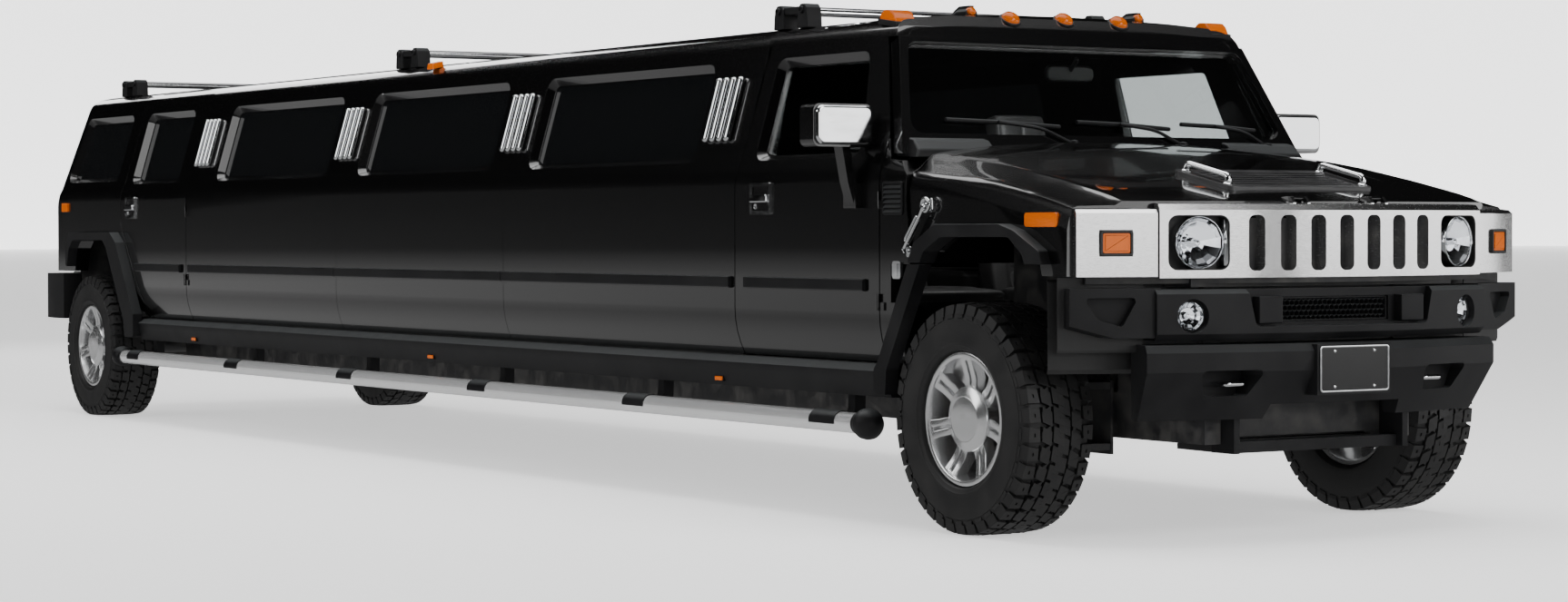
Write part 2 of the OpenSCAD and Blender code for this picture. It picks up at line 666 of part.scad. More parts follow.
// Tubular side steps with ball ends and brackets from the rocker boxes.
step_x0 = rear + 495;
step_x1 = -585;
module side_steps() {
  color(chrome) pair() {
    rod_x(step_x0, step_x1, -half_w - 40, 358, step_r);
    for (x = [step_x0, step_x1])
      translate([x, -half_w - 40, 358]) sphere(r = step_r + 4, $fn = 32);
    for (i = [0 : 5])
      let (x = step_x1 - 260 + i * (step_x0 - step_x1 + 520) / 5) {
        box(x - 25, x + 25, -half_w - 40, -half_w + 100, 346, 370);
        box(x - 25, x + 25, -half_w + 60, -half_w + 100, 346, 480 - seat_gap);
      }
  }
}

// Roof cross bars on twin feet.
rack_y = edge_half - 151;
rack_x = [fd_r + 37, rear / 2 - 696, rear - 109];
module roof_rack() {
  color(chrome) for (x = rack_x) {
    rod_y(x, -rack_y + seat_gap, rack_y - seat_gap, roof_z + 146, bar_r);
    pair() {
      for (d = [-85, 85])
        difference() {
          box(x + d - 38, x + d + 38, -rack_y - 71, -rack_y, roof_z + 60, roof_z + 172);
          translate([x, 0, 0]) roof_block();
        }
      box(x - 90, x + 90, -rack_y - 61, -rack_y, roof_z + 124, roof_z + 166);
    }
  }
}
module roof_block() {
  along_x(-400, 400) polygon([for (p = full(roof_out)) [p[0], p[1] + seat_gap]]);
}

// Amber lamps on the roof, in the grille corners, on the rear sides and along the rockers.
sill_lamps = [fd_r - 100, rear / 2 + 71, rd_f + 138];
function marker_r(i) = [[back_x + 92 + i, 1178 + i], [back_x + 192 - i, 1178 + i], [back_x + 192 - i,
  1230 - i],
  [back_x + 92 + i, 1230 - i]];
roof_domes = [[-756, 0], [-748, 258], [-748, -258]];
module roof_seat() {
  difference() {
    translate([-800, 0, 0]) roof_block();
    translate([seat_gap, 0, seat_gap]) brow_cut();
  }
}
module roof_front_lamps() {
  for (d = roof_domes)
    translate([d[0], d[1], roof_z + 40]) {
      cylinder(r = 40, h = 54);
      translate([0, 0, 53]) cylinder(r1 = 36, r2 = 20, h = 22);
    }
  pair() {
    along_y(-edge_half + 16, -edge_half + 116)
      polygon(soft([[-838, roof_z + 40], [-722, roof_z + 40], [-752, roof_z + 104], [-812,
        roof_z + 104]], 10));
    along_y(-428, -372)
      polygon(soft([[-930, roof_z + 70], [-800, roof_z + 70], [-804, roof_z + 132], [-836, roof_z + 136],
        [-930, roof_z + 108]], 8));
  }
}
module marker_lamps() {
  color(amber) {
    difference() {
      roof_front_lamps();
      roof_seat();
    }
    pair() {
      along_y(-half_w - 8, -half_w + 14 - seat_gap) polygon(soft(marker_r(seat_gap), 10));
      for (x = sill_lamps)
        box(x - 32 + seat_gap, x + 32 - seat_gap, -half_w - 18, -half_w + 10 - seat_gap, 470 + seat_gap,
          494 - seat_gap);
      difference() {
        box(rear / 2 - 290, rear / 2 - 220, -edge_half - 4, -edge_half + 60, roof_z + 40, roof_z + 96);
        translate([rear / 2, 0, 0]) roof_block();
      }
      turn_lamp(seat_gap, 8);
    }
  }
}
module turn_lamp(i, d) {
  rotate_face(-turn_y) translate([-40, -58 + i, 972 + i]) cube([40 + d, 116 - 2 * i, 88 - 2 * i]);
}
module rotate_face(y) {
  translate([face_x - face_r, 0, 0]) rotate([0, 0, asin(y / face_r)]) translate([face_r, 0, 0]) children();
}

// Grille with slots and lamp openings, and the corner bezels, all on the front arc.
grille_z0 = 899;
grille_z1 = 1146;
grille_y = half_w - 244;
lamp_y = grille_y - 138;
turn_y = half_w - 102;
grille_a = asin(grille_y / face_r);
corner_a = asin((half_w + 24) / face_r);
module rr(w, h, r) {
  square([w - 2 * r, h], center = true);
  square([w, h - 2 * r], center = true);
  for (x = [-1, 1], y = [-1, 1])
    translate([x * (w / 2 - r), y * (h / 2 - r)]) circle(r = r);
}
module face_hole(y, z, w, h, r) {
  rotate_face(y) translate([-300, 0, z]) rotate([90, 0, 90]) linear_extrude(400) rr(w, h, r);
}
module grille() {
  color(chrome) {
    difference() {
      face_turn(grille_a) polygon([[face_r - grille_t, grille_z0], [face_r, grille_z0], [face_r, 1126],
        [face_r - 16, grille_z1], [face_r - grille_t, grille_z1 + 4]]);
      for (i = [0 : slots - 1])
        face_hole((i - (slots - 1) / 2) * slot_pitch, 1016, 64, 188, 24);
      for (s = [-1, 1])
        face_hole(s * lamp_y, 1017, 226, 184, 34);
    }
    pair() difference() {
      translate([face_x - face_r, 0, 0]) rotate([0, 0, -corner_a])
        rotate_extrude(angle = corner_a - grille_a - 0.1, $fn = 360)
          polygon([[face_r - grille_t, 904], [face_r - 6, 904], [face_r - 6, 1116], [face_r - 20, 1128],
            [face_r - grille_t, 1132]]);
      turn_lamp(0, 20);
      rotate_face(-turn_y) translate([-100, -66, 964]) cube([62, 132, 104]);
    }
    pair() hood_pins();
  }
}

// Hood hinge: a pin on two brackets at the top of the grille, and the eyes on the front edge of the hood.
pin_x = hood_x + door_gap / 2;
hood_hinge_y = 150;
module hood_pins() {
  rod_y(pin_x, -hood_hinge_y - 58, -hood_hinge_y + 6, hood_z, 3.5);
  for (y = [-hood_hinge_y - 64, -hood_hinge_y])
    along_y(y, y + 12) polygon([[pin_x - 1, hood_z - 5], [pin_x + 3, hood_z - 32], [pin_x + 24,
      hood_z - 32],
      [pin_x + 24, hood_z - 14], [pin_x + 6, hood_z + 6], [pin_x - 5, hood_z + 6]]);
}
module hood_eye() {
  difference() {
    union() {
      rod_y(pin_x, -hood_hinge_y - 46, -hood_hinge_y - 6, hood_z, 7);
      along_y(-hood_hinge_y - 46, -hood_hinge_y - 6) polygon([[pin_x - 60, hood_z - 14], [pin_x - 14,
        hood_z - 14],
        [pin_x, hood_z - 6], [pin_x, hood_z + 7], [pin_x - 36, hood_z + 7], [pin_x - 60, hood_z + 4]]);
    }
    rod_y(pin_x, -hood_hinge_y - 80, -hood_hinge_y + 30, hood_z, 3.5 + run_gap);
  }
}

// Dark panel behind the grille that carries the lamps and ties the front to the frame.
module grille_back() {
  color(dark) {
    face_turn(corner_a - 1) translate([face_r - grille_t - 22, 880]) square([22 - seat_gap, 220]);
    pair() box(590, 640, -rail_y - 30, -rail_y + 30, rail_z + rail_h + seat_gap, 896);
    box(590, face_x - 115, -half_w + 380, half_w - 380, 868, 896);
  }
}

// Round headlamps and fog lamps.
module front_lamps() {
  color(glass) pair() {
    rotate_face(-lamp_y) translate([-grille_t, 0, 1017]) rotate([0, 90, 0]) {
      cylinder(d = lamp_d, h = grille_t - 6);
      translate([0, 0, grille_t - 6.01]) intersection() {
        cylinder(d = lamp_d - 10, h = 30);
        translate([0, 0, -150]) sphere(r = 172, $fn = 64);
      }
    }
    fog_pocket(seat_gap, 40);
  }
}

// Upper bumper bar with a middle opening, fog lamp pockets and swept ends.
fog_y = half_w - 355;
bump_a = asin((half_w - 230) / face_r);
tip_a = asin((half_w + 46) / face_r);
module front_bumper() {
  color(dark) difference() {
    union() {
      face_turn(bump_a) polygon([[face_r - 130, 690], [face_r - 10, 690], [face_r + 12, 712],
        [face_r + 12, 846],
        [face_r - 6, 862], [face_r - 130, 862]]);
      pair() difference() {
        translate([face_x - face_r, 0, 0]) rotate([0, 0, -tip_a])
          rotate_extrude(angle = tip_a - bump_a + 0.5, $fn = 360)
            polygon([[face_r - 90, 700], [face_r - 4, 700], [face_r - 4, 866], [face_r - 90, 866]]);
        along_x(0, 900) polygon([[-half_w - 130, 685], [-half_w + 150, 685], [-half_w - 130, 766]]);
        rotate_face(-half_w + 84) translate([-40, 0, 790]) rotate([90, 0, 90]) linear_extrude(100)
          polygon(soft([[-95, 44], [95, 44], [40, -52], [-40, -30]], 12));
      }
      box(640 + seat_gap, 735, -500, 500, 700, 850);
    }
    pair() fog_pocket(0, 130);
    along_x(face_x - 58, 1000) polygon(soft([[-425, 900], [-385, 735], [385, 735], [425, 900]], 22));
    box(face_x - 90, 1000, -240 - seat_gap, 240 + seat_gap, 748 - seat_gap, 832 + seat_gap);
  }
}
module fog_pocket(i, d) {
  rotate_face(-fog_y) translate([-56 + i, 0, 772]) rotate([0, 90, 0]) cylinder(r = 57 - i, h = d);
}

// Honeycomb mesh in the middle of the bumper.
module bumper_mesh() {
  color(dark) difference() {
    box(face_x - 90 + seat_gap, face_x - 66, -240, 240, 748, 832);
    for (r = [0 : 2], c = [-7 : 7])
      let (y = c * 30 + (r % 2) * 15)
        if (abs(y) < 225)
          translate([face_x - 120, y, 764 + r * 26]) rotate([0, 90, 0]) cylinder(r = 14, h = 100, $fn = 6);
  }
}

// Lower bumper with the plate pad and tow openings, and the skid plate behind it.
low_a = asin((half_w - 192) / face_r);
module lower_bumper() {
  color(dark) {
    difference() {
      union() {
        face_turn(low_a) polygon([[face_r - 130, 676], [face_r + 8, 676], [face_r + 26, 650],
          [face_r + 26, 585],
          [face_r - 70, 420], [face_r - 130, 420]]);
        box(640 + seat_gap, face_x - 100, -half_w + 370, half_w - 370, 560, 676);
        box(face_x - 60, front_overhang, -165, 165, 500, 672);
      }
      along_x(face_x - 220, 1000) polygon([[-330, 300], [-290, 470], [290, 470], [330, 300]]);
      pair() along_x(face_x - 120, 1000) polygon(soft([[-600, 590], [-360, 590], [-400, 500], [-560,
        500]], 16));
      for (y = [-89, 89], z = [526.5, 647.5])
        rod_x(front_overhang - 44, 1000, y, z, plate_hole_r);
    }
    pair() box(602, 720, -rail_y + 35 + seat_gap, -rail_y + 60, 300, 600);
    hull() {
      box(645, 690, -390, 390, 300, 338);
      box(300, 320, -300, 300, 292, 312);
    }
  }
}

// Rear bumper with wrapped ends and a square tow receiver.
module rear_bumper() {
  color(dark) difference() {
    union() {
      box(rear - rear_overhang, back_x - 12, -half_w + 120, half_w - 120, 560, 816);
      pair() translate([0, 0, 550]) linear_extrude(266)
        polygon([[rear - rear_overhang, -half_w + 119], [rear - rear_overhang, -half_w + 130],
          [back_x - 12, -half_w + 130],
          [back_x + 190, -half_w + 70], [back_x + 190, -half_w - 34], [back_x + 40, -half_w - 44],
            [rear - rear_overhang + 60, -half_w - 24]]);
      pair() box(back_x - 13, rear - 640 - seat_gap, -rail_y - 34, -rail_y + 34, rail_z + 20, 700);
    }
    box(rear - rear_overhang - 10, rear - rear_overhang + 110, -receiver / 2, receiver / 2, 600,
      600 + receiver);
    box(rear - rear_overhang - 10, rear - rear_overhang + 60, -420, 420, 770, 900);
  }
}

// Tail lamps in the corner posts.
module tail_lamps() {
  color([0.6, 0.03, 0.03]) pair()
    box(back_x - 10, back_x + 24 - seat_gap, -half_w + 44 + seat_gap, -half_w + 144 - seat_gap,
      940 + seat_gap,
      1190 - seat_gap);
}

// Dashboard with the steering column and wheel on the left.
module dashboard() {
  color(dark) {
    along_y(-half_w + 140, half_w - 140) polygon([[-500.3, 1000], [-500.3, 1290], [-540, 1300], [-740,
      1265], [-790, 1180], [-760, 1010]]);
    translate([-800, 400, 1150]) rotate([0, -64, 0]) {
      rotate_extrude() translate([188, 0]) circle(r = 16, $fn = 24);
      translate([0, 0, -60]) cylinder(r = 42, h = 70);
      for (a = [0, 120, 240])
        rotate([0, 0, a]) box(0, 186, -18, 18, -12, 6);
    }
    translate([-800, 400, 1150]) rotate([0, -64, 0]) translate([0, 0, -160]) cylinder(r = 30, h = 150);
  }
}

// Front seats and the lounge benches along the cabin.
module seat(x, y) {
  box(x - 250, x + 250, y - 260, y + 260, 680, 840);
  box(x - 230, x + 230, y - 230, y + 230, floor_z + seat_gap, 680 - seat_gap);
  translate([x - 250 - seat_gap, y, 720]) rotate([0, -12, 0]) {
    box(-120, 0, -250, 250, 0, 640);
    box(-100, -20, -130, 130, 640 + seat_gap, 840);
  }
}
module seats() {
  color(leather) {
    seat(-1150, 400);
    seat(-1150, -400);
    box(rd_f + 100, fd_r - 300, 320, 780, floor_z + seat_gap, 900);
    box(rd_f + 100, fd_r - 300, 640, 780, 900 + seat_gap, 1240);
    box(rear + 640, rear + 1180, -560, 560, floor_z + seat_gap, 900);
    box(rear + 640, rear + 780, -560, 560, 900 + seat_gap, 1350);
  }
}

// Doors with their mirror or handle; the right-hand ones are drawn and the left-hand ones mirrored.
module handle(x, z) {
  difference() {
    box(x - 70, x + 70, -half_w - 6, -half_w + 20, z - 58, z + 58);
    box(x - 56, x + 56, -half_w - 20, -half_w - 2, z - 44, z + 44);
  }
  box(x - 57, x + 57, -half_w - 16, -half_w + 1, z - 12, z + 12);
}
module door_front() {
  difference() {
    intersection() {
      side_slab(fd_r - 20, fd_f + 20);
      front_zone(0);
    }
    bevel_cut(win_front(0), win_front(bevel), win_front(bevel + lip));
  }
  hinge_door(fd_f + door_gap / 2);
  moulding(fd_r + 88, fd_f - 90);
  handle(fd_r + 199, 1183);
  box(-775, -690, -half_w - 26, -half_w - seat_gap, 1140, 1232);
  along_x(-760, -705) polygon([[-half_w - 8, 1160], [-half_w - 26, 1160], [-half_w - 50, 1236],
    [-half_w - 76, 1370],
    [-half_w - 40, 1370], [-half_w - 22, 1240]]);
  along_x(-746, -654) polygon(soft([[-half_w - 232, 1364], [-half_w + 22, 1364], [-half_w + 22, 1520],
    [-half_w - 232, 1520]], 26));
}
module door_rear() {
  difference() {
    intersection() {
      side_slab(rd_r - 20, rd_f + 20);
      rear_zone(0);
    }
    bevel_cut(win_rear(0), win_rear(bevel), win_rear(bevel + lip));
  }
  hinge_door(rd_f + door_gap / 2);
  moulding(rd_r + 236, rd_f - 72);
  handle(rd_r + 165, 1195);
}
module door_front_right() {
  color(paint) door_front();
}
module door_front_left() {
  color(paint) mirror([0, 1, 0]) door_front();
}
module door_rear_right() {
  color(paint) door_rear();
}
module door_rear_left() {
  color(paint) mirror([0, 1, 0]) door_rear();
}
module glass_front_right() {
  color(glass) pane(win_front(bevel + lip + seat_gap));
}
module glass_front_left() {
  color(glass) mirror([0, 1, 0]) pane(win_front(bevel + lip + seat_gap));
}
module glass_rear_right() {
  color(glass) pane(win_rear(bevel + lip + seat_gap));
}
module glass_rear_left() {
  color(glass) mirror([0, 1, 0]) pane(win_rear(bevel + lip + seat_gap));
}

// Top-hinged tailgate with its window.
win_low = gate_low - 190;
win_top = gate_top - 130;
function gate_win(i) = soft([[-win_low + i, 1330 + i], [win_low - i, 1330 + i], [win_top - i, 1700 - i],
  [-win_top + i, 1700 - i]], 60 - i);
gate_x = back_x + 127.5;
gate_z = roof_z - 5;
gate_y = [-420, 420];
module tailgate() {
  color(paint) difference() {
    union() {
      tailgate_panel();
      for (y = gate_y)
        rod_y(gate_x, y - 20, y + 20, gate_z, 10);
    }
    for (y = gate_y) {
      rod_y(gate_x, y - 60, y + 60, gate_z, 5 + run_gap);
      for (s = [-1, 1])
        box(gate_x - 30, gate_x + 120, y + s * 27.5 - 7, y + s * 27.5 + 7, gate_z - 24, gate_z + 40);
    }
  }
}
module tailgate_panel() {
  difference() {
    intersection() {
      along_y(-half_w, half_w) polygon(back_wall(66));
      along_x(back_x - 10, back_x + 300) polygon(gate(0));
      box(back_x - 10, back_x + 300, -half_w, half_w, 800, roof_z - door_gap);
    }
    along_x(back_x - 100, back_x + 300) polygon(gate_win(0));
    box(back_x - 10, back_x + 18, -260, 260, 930, 1110);
  }
}
module tailgate_glass() {
  color(glass) intersection() {
    along_x(back_x - 100, back_x + 300) polygon(gate_win(seat_gap));
    translate([12, 0, 0]) along_y(-half_w, half_w) polygon(back_wall(glass_t));
  }
}

// Steering knuckle with kingpin and wheel spindle.
module knuckle() {
  color(steel) {
    translate([0, -king_y, axle_z - 134]) cylinder(r = 14, h = 268);
    translate([0, -king_y, axle_z - 95]) cylinder(r = 30, h = 190);
    rod_y(0, -wheel_y - 40, -king_y, axle_z, spindle_r);
    rod_y(0, -wheel_y + 28, -wheel_y + 50, axle_z, 90);
  }
}
module knuckle_right() {
  knuckle();
}
module knuckle_left() {
  mirror([0, 1, 0]) knuckle();
}

// Cast wheel with paired spokes, a deep barrel and a large centre cap.
module rim() {
  color(chrome) rotate([90, 0, 0]) difference() {
    union() {
      rotate_extrude($fn = 72) polygon([[rim_r - 22, -110], [rim_r - 6, -120], [rim_r - 6, -104],
        [rim_r - 14, -90],
        [rim_r - 16, 60], [rim_r - 6, 104], [rim_r, 124], [rim_r - 14, 126], [rim_r - 30, 100],
          [rim_r - 34, 40],
        [rim_r - 30, -90]]);
      for (k = [0 : spokes - 1])
        rotate([0, 0, k * 360 / spokes]) for (s = [-1, 1])
          translate([s * 21, 60, 0]) translate([-15, 0, 30]) cube([30, rim_r - 90, 52]);
      rotate_extrude($fn = 72) polygon([[10, 26], [hub_r - 14, 26], [hub_r - 12, 72], [hub_r, 90],
        [hub_r, 101], [hub_r - 36, 119], [10, 121]]);
      translate([0, 0, 50]) cylinder(r = 20, h = 66);
    }
    translate([0, 0, -200]) cylinder(r = spindle_r + run_gap, h = 242);
  }
}
// Tyre outline with rounded shoulders; the tread is fitted in the look of the part.
module tyre() {
  color(dark) rotate([90, 0, 0]) rotate_extrude($fn = 72) polygon(concat(
    [[rim_r - 5, -tyre_w / 2 + 30], [rim_r + 6, -tyre_w / 2 + 8], [rim_r + 60, -tyre_w / 2],
      [tyre_r - 50, -tyre_w / 2 + 4], [tyre_r - 14, -tyre_w / 2 + 18], [tyre_r, -tyre_w / 2 + 40]],
    [[tyre_r, tyre_w / 2 - 40], [tyre_r - 14, tyre_w / 2 - 18], [tyre_r - 50, tyre_w / 2 - 4],
      [rim_r + 60, tyre_w / 2], [rim_r + 6, tyre_w / 2 - 8], [rim_r + 0.5, tyre_w / 2 - 30],
      [rim_r + 0.5, 106], [rim_r - 5.5, 103.5]]));
}
module at_wheel(x, s) {
  mirror([0, s, 0]) translate([x, -wheel_y, axle_z]) children();
}
module rim_front_right() {
  at_wheel(0, 0) rim();
}
module rim_front_left() {
  at_wheel(0, 1) rim();
}
module rim_rear_right() {
  at_wheel(rear, 0) rim();
}
module rim_rear_left() {
  at_wheel(rear, 1) rim();
}
module tyre_front_right() {
  at_wheel(0, 0) tyre();
}
module tyre_front_left() {
  at_wheel(0, 1) tyre();
}
module tyre_rear_right() {
  at_wheel(rear, 0) tyre();
}
module tyre_rear_left() {
  at_wheel(rear, 1) tyre();
}

place() chassis_frame();
place() engine_block();
place() front_suspension();
place() rear_axle();
place() floor_pan();
place() wheel_houses();
place() cowl();
place() windshield_frame();
place() roof_panel();
place() stretch_side_right();
place() stretch_side_left();
place() rear_quarters();
place() cladding();
place() windshield();
place() fixed_windows();
place() pillar_bars();
place() side_steps();
place() roof_rack();
place() marker_lamps();
place() dashboard();
place() seats();
place() grille();
place() grille_back();
place() front_lamps();
place() front_bumper();
place() bumper_mesh();
place() lower_bumper();
place() rear_bumper();
place() tail_lamps();
place() hood_shell();
place() hood_flares();
place() hood_vent();
place() hood_handles();
place() hood_markers();
place() door_front_right();
place() door_front_left();
place() door_rear_right();
place() door_rear_left();
place() glass_front_right();
place() glass_front_left();
place() glass_rear_right();
place() glass_rear_left();
place() tailgate();
place() tailgate_glass();
place() knuckle_right();
place() knuckle_left();
place() rim_front_right();
place() rim_front_left();
place() rim_rear_right();
place() rim_rear_left();
place() tyre_front_right();
place() tyre_front_left();
place() tyre_rear_right();
place() tyre_rear_left();
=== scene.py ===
import math

import bmesh
import bpy
from mathutils import Matrix, Vector


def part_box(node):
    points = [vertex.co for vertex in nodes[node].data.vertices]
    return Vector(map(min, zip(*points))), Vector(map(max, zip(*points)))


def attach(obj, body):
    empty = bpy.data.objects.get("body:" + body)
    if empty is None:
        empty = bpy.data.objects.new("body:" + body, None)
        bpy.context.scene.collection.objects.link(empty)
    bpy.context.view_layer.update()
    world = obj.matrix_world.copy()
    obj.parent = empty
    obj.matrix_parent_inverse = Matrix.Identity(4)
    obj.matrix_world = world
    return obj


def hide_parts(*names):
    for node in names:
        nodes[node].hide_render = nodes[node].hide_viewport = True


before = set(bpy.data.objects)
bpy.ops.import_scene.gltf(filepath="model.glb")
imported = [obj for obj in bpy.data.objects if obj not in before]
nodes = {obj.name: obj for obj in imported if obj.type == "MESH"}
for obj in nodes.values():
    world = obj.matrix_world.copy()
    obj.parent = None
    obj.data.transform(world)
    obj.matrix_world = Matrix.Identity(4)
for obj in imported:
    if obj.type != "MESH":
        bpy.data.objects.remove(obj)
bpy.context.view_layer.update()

# Camera: the viewer stands well ahead of the right front wheel, a little above the belt of a person.
# A long lens keeps the ten-metre body from tapering too fast.
eye = Vector((13.3755, -7.3877, 1.0637))
yaw, pitch, roll = math.radians(32.332), math.radians(1.052), math.radians(-0.133)
sight = Vector((-math.cos(yaw) * math.cos(pitch), math.sin(yaw) * math.cos(pitch), -math.sin(pitch)))
bpy.ops.object.select_all(action="DESELECT")
bpy.ops.object.camera_add(location=eye)
camera = bpy.context.object
camera.rotation_mode = "QUATERNION"
camera.rotation_quaternion = sight.to_track_quat("-Z", "Y") @ Matrix.Rotation(roll, 3, "Z").to_quaternion()
camera.data.sensor_width = 36.0
camera.data.lens = 73.2
camera.data.shift_x = -0.01107
camera.data.shift_y = -0.00823
camera.data.clip_end = 900.0
bpy.context.scene.camera = camera


def new_finish(name, colour, roughness, metallic=0.0):
    """A plain material with a base colour, a roughness and a metalness."""
    finish = bpy.data.materials.new(name)
    finish.use_nodes = True
    shader = finish.node_tree.nodes["Principled BSDF"]
    shader.inputs["Base Color"].default_value = (*colour, 1)
    shader.inputs["Roughness"].default_value = roughness
    shader.inputs["Metallic"].default_value = metallic
    return finish, finish.node_tree, shader


bpy.ops.object.select_all(action="DESELECT")
bpy.ops.mesh.primitive_cylinder_add(vertices=96, radius=13, depth=2.6, end_fill_type="NOTHING",
                                    location=(3.5, 0, 1.75))
cards = bpy.context.object
cards.name = "studio_cards"
bpy.ops.object.mode_set(mode="EDIT")
bpy.ops.mesh.select_mode(type="FACE")
card_mesh = bmesh.from_edit_mesh(cards.data)
for face in card_mesh.faces:
    bearing = math.degrees(math.atan2(face.calc_center_median().y, face.calc_center_median().x))
    face.select_set(not (-30 < bearing < 18 or 26 < bearing < 80))
bmesh.update_edit_mesh(cards.data)
bpy.ops.mesh.delete(type="FACE")
bpy.ops.object.mode_set(mode="OBJECT")
white = (1, 1, 1, 1)
glow, tree, shader = new_finish("studio_cards", (0.8, 0.8, 0.8), 0.5)
shader.inputs["Emission Color"].default_value = white
shader.inputs["Emission Strength"].default_value = 1.5
cards.data.materials.append(glow)
cards.visible_camera = cards.visible_diffuse = cards.visible_shadow = cards.visible_transmission = False

# Studio: a pale matt floor inside a pale round wall, both faintly lit from within. Neither shows in
# reflections: paint and plating mirror the sky instead.
wall_radius = 180
bpy.ops.mesh.primitive_circle_add(vertices=96, radius=wall_radius + 5, fill_type="NGON", location=(0, 0, 0))
floor = bpy.context.object
floor.name = "studio_floor"
bpy.ops.mesh.primitive_cylinder_add(vertices=96, radius=wall_radius, depth=50, end_fill_type="NOTHING",
                                    location=(0, 0, 24))
wall = bpy.context.object
wall.name = "studio_wall"
wall.visible_glossy = floor.visible_glossy = False
wall.visible_shadow = False
for stage_piece, strength in ((floor, 0.75), (wall, 1.7)):
    pale, tree, shader = new_finish(stage_piece.name, (0.92, 0.92, 0.92), 0.9)
    shader.inputs["Specular IOR Level"].default_value = 0.1
    shader.inputs["Emission Color"].default_value = white
    shader.inputs["Emission Strength"].default_value = strength
    stage_piece.data.materials.append(pale)

# Sky and lamps: the sky is bright overhead, dark towards the walls and pale below. Four large soft boxes stand
# round the vehicle, and a small lamp under the roof lifts the front seats out of the dark.
room = bpy.data.worlds.new("studio_sky")
room.use_nodes = True
bpy.context.scene.world = room
sky = room.node_tree
place = sky.nodes.new("ShaderNodeTexCoord")
height = sky.nodes.new("ShaderNodeSeparateXYZ")
ramp = sky.nodes.new("ShaderNodeValToRGB")
sky.links.new(place.outputs["Generated"], height.inputs["Vector"])
level = sky.nodes.new("ShaderNodeMapRange")
lowest = -0.25
level.inputs["From Min"].default_value = lowest
sky.links.new(height.outputs["Z"], level.inputs["Value"])
sky.links.new(level.outputs["Result"], ramp.inputs["Fac"])
sky.links.new(ramp.outputs["Color"], sky.nodes["Background"].inputs["Color"])
sky_tones = ((lowest, 0.42), (-0.10, 0.30), (-0.045, 0.40), (-0.016, 0.60), (-0.006, 0.006), (0.40, 0.005),
             (0.72, 0.03), (0.88, 0.45), (1.0, 1.0))
for i, (rise, tone) in enumerate(sky_tones):
    stop = ramp.color_ramp.elements[i] if i < 2 else ramp.color_ramp.elements.new(0.99)
    stop.position = (rise - lowest) / (1 - lowest)
    stop.color = (tone, tone, tone, 1)
sky.nodes["Background"].inputs["Strength"].default_value = 0.9
for name, at, aim, size, power in (
    ("overhead_softbox", (1.0, -1.0, 7.5), (0.5, 0, 0.8), (13, 5), 620),
    ("front_softbox", (13.0, 2.0, 5.5), (5.0, 0, 1.0), (5, 4), 420),
    ("side_softbox", (-2.0, -12.0, 6.5), (-1.0, 0, 0.9), (14, 3), 380),
    ("rear_softbox", (-14.0, 3.0, 6.0), (-5.0, 0, 1.0), (6, 4), 260),
    ("cabin_fill", (3.2, 0, 1.74), (2.75, 0, 1.4), (0.9, 0.5), 9),
):
    bpy.ops.object.light_add(type="AREA", location=at)
    lamp = bpy.context.object
    lamp.name = name
    lamp.data.shape = "RECTANGLE"
    lamp.data.size, lamp.data.size_y = size
    lamp.data.energy = power
    lamp.visible_camera = lamp.visible_transmission = False
    lamp.rotation_mode = "QUATERNION"
    lamp.rotation_quaternion = (Vector(aim) - Vector(at)).to_track_quat("-Z", "Y")


# Ladder frame, suspension arms, axle and engine: pressed and cast steel with a thin black coat,
# dusted grey where the road throws dirt at it. All of it sits deep under the body.
def pattern(tree, kind, scale, detail=3.0, stretch=(1, 1, 1)):
    """A noise or cell texture that sits on the object, and its grey output."""
    place = tree.nodes.new("ShaderNodeTexCoord")
    turn = tree.nodes.new("ShaderNodeMapping")
    turn.inputs["Scale"].default_value = stretch
    texture = tree.nodes.new("ShaderNodeTex" + kind)
    texture.inputs["Scale"].default_value = scale
    if "Detail" in texture.inputs:
        texture.inputs["Detail"].default_value = detail
    tree.links.new(place.outputs["Object"], turn.inputs["Vector"])
    tree.links.new(turn.outputs["Vector"], texture.inputs["Vector"])
    return texture.outputs["Fac" if kind == "Noise" else "Distance"]


def add_bump(tree, shader, source, strength, depth):
    """Relief that follows a texture."""
    bump = tree.nodes.new("ShaderNodeBump")
    bump.inputs["Strength"].default_value = strength
    bump.inputs["Distance"].default_value = depth
    tree.links.new(source, bump.inputs["Height"])
    tree.links.new(bump.outputs["Normal"], shader.inputs["Normal"])


def add_range(tree, source, socket, low, high, start=0.3, end=0.7):
    """Lets a texture move one value of the material between two limits."""
    spread = tree.nodes.new("ShaderNodeMapRange")
    spread.inputs["From Min"].default_value = start
    spread.inputs["From Max"].default_value = end
    spread.inputs["To Min"].default_value = low
    spread.inputs["To Max"].default_value = high
    tree.links.new(source, spread.inputs["Value"])
    tree.links.new(spread.outputs["Result"], socket)


def add_tones(tree, source, socket, *tones):
    """Lets a texture move a colour along a row of tones."""
    ramp = tree.nodes.new("ShaderNodeValToRGB")
    for i, (spot, colour) in enumerate(tones):
        stop = ramp.color_ramp.elements[i] if i < 2 else ramp.color_ramp.elements.new(spot)
        stop.position = spot
        stop.color = (*colour, 1)
    tree.links.new(source, ramp.inputs["Fac"])
    tree.links.new(ramp.outputs["Color"], socket)


def round_edges(piece, width, steps, angle):
    """A bevel on every edge sharper than an angle in degrees."""
    ease = piece.modifiers.new("ease", "BEVEL")
    ease.width = width
    ease.segments = steps
    ease.limit_method = "ANGLE"
    ease.angle_limit = math.radians(angle)
    return ease


def even_shading(piece):
    """Lets the large faces lead the shading, so that rounded edges stay crisp."""
    even = piece.modifiers.new("even", "WEIGHTED_NORMAL")
    even.weight = 100
    even.keep_sharp = True


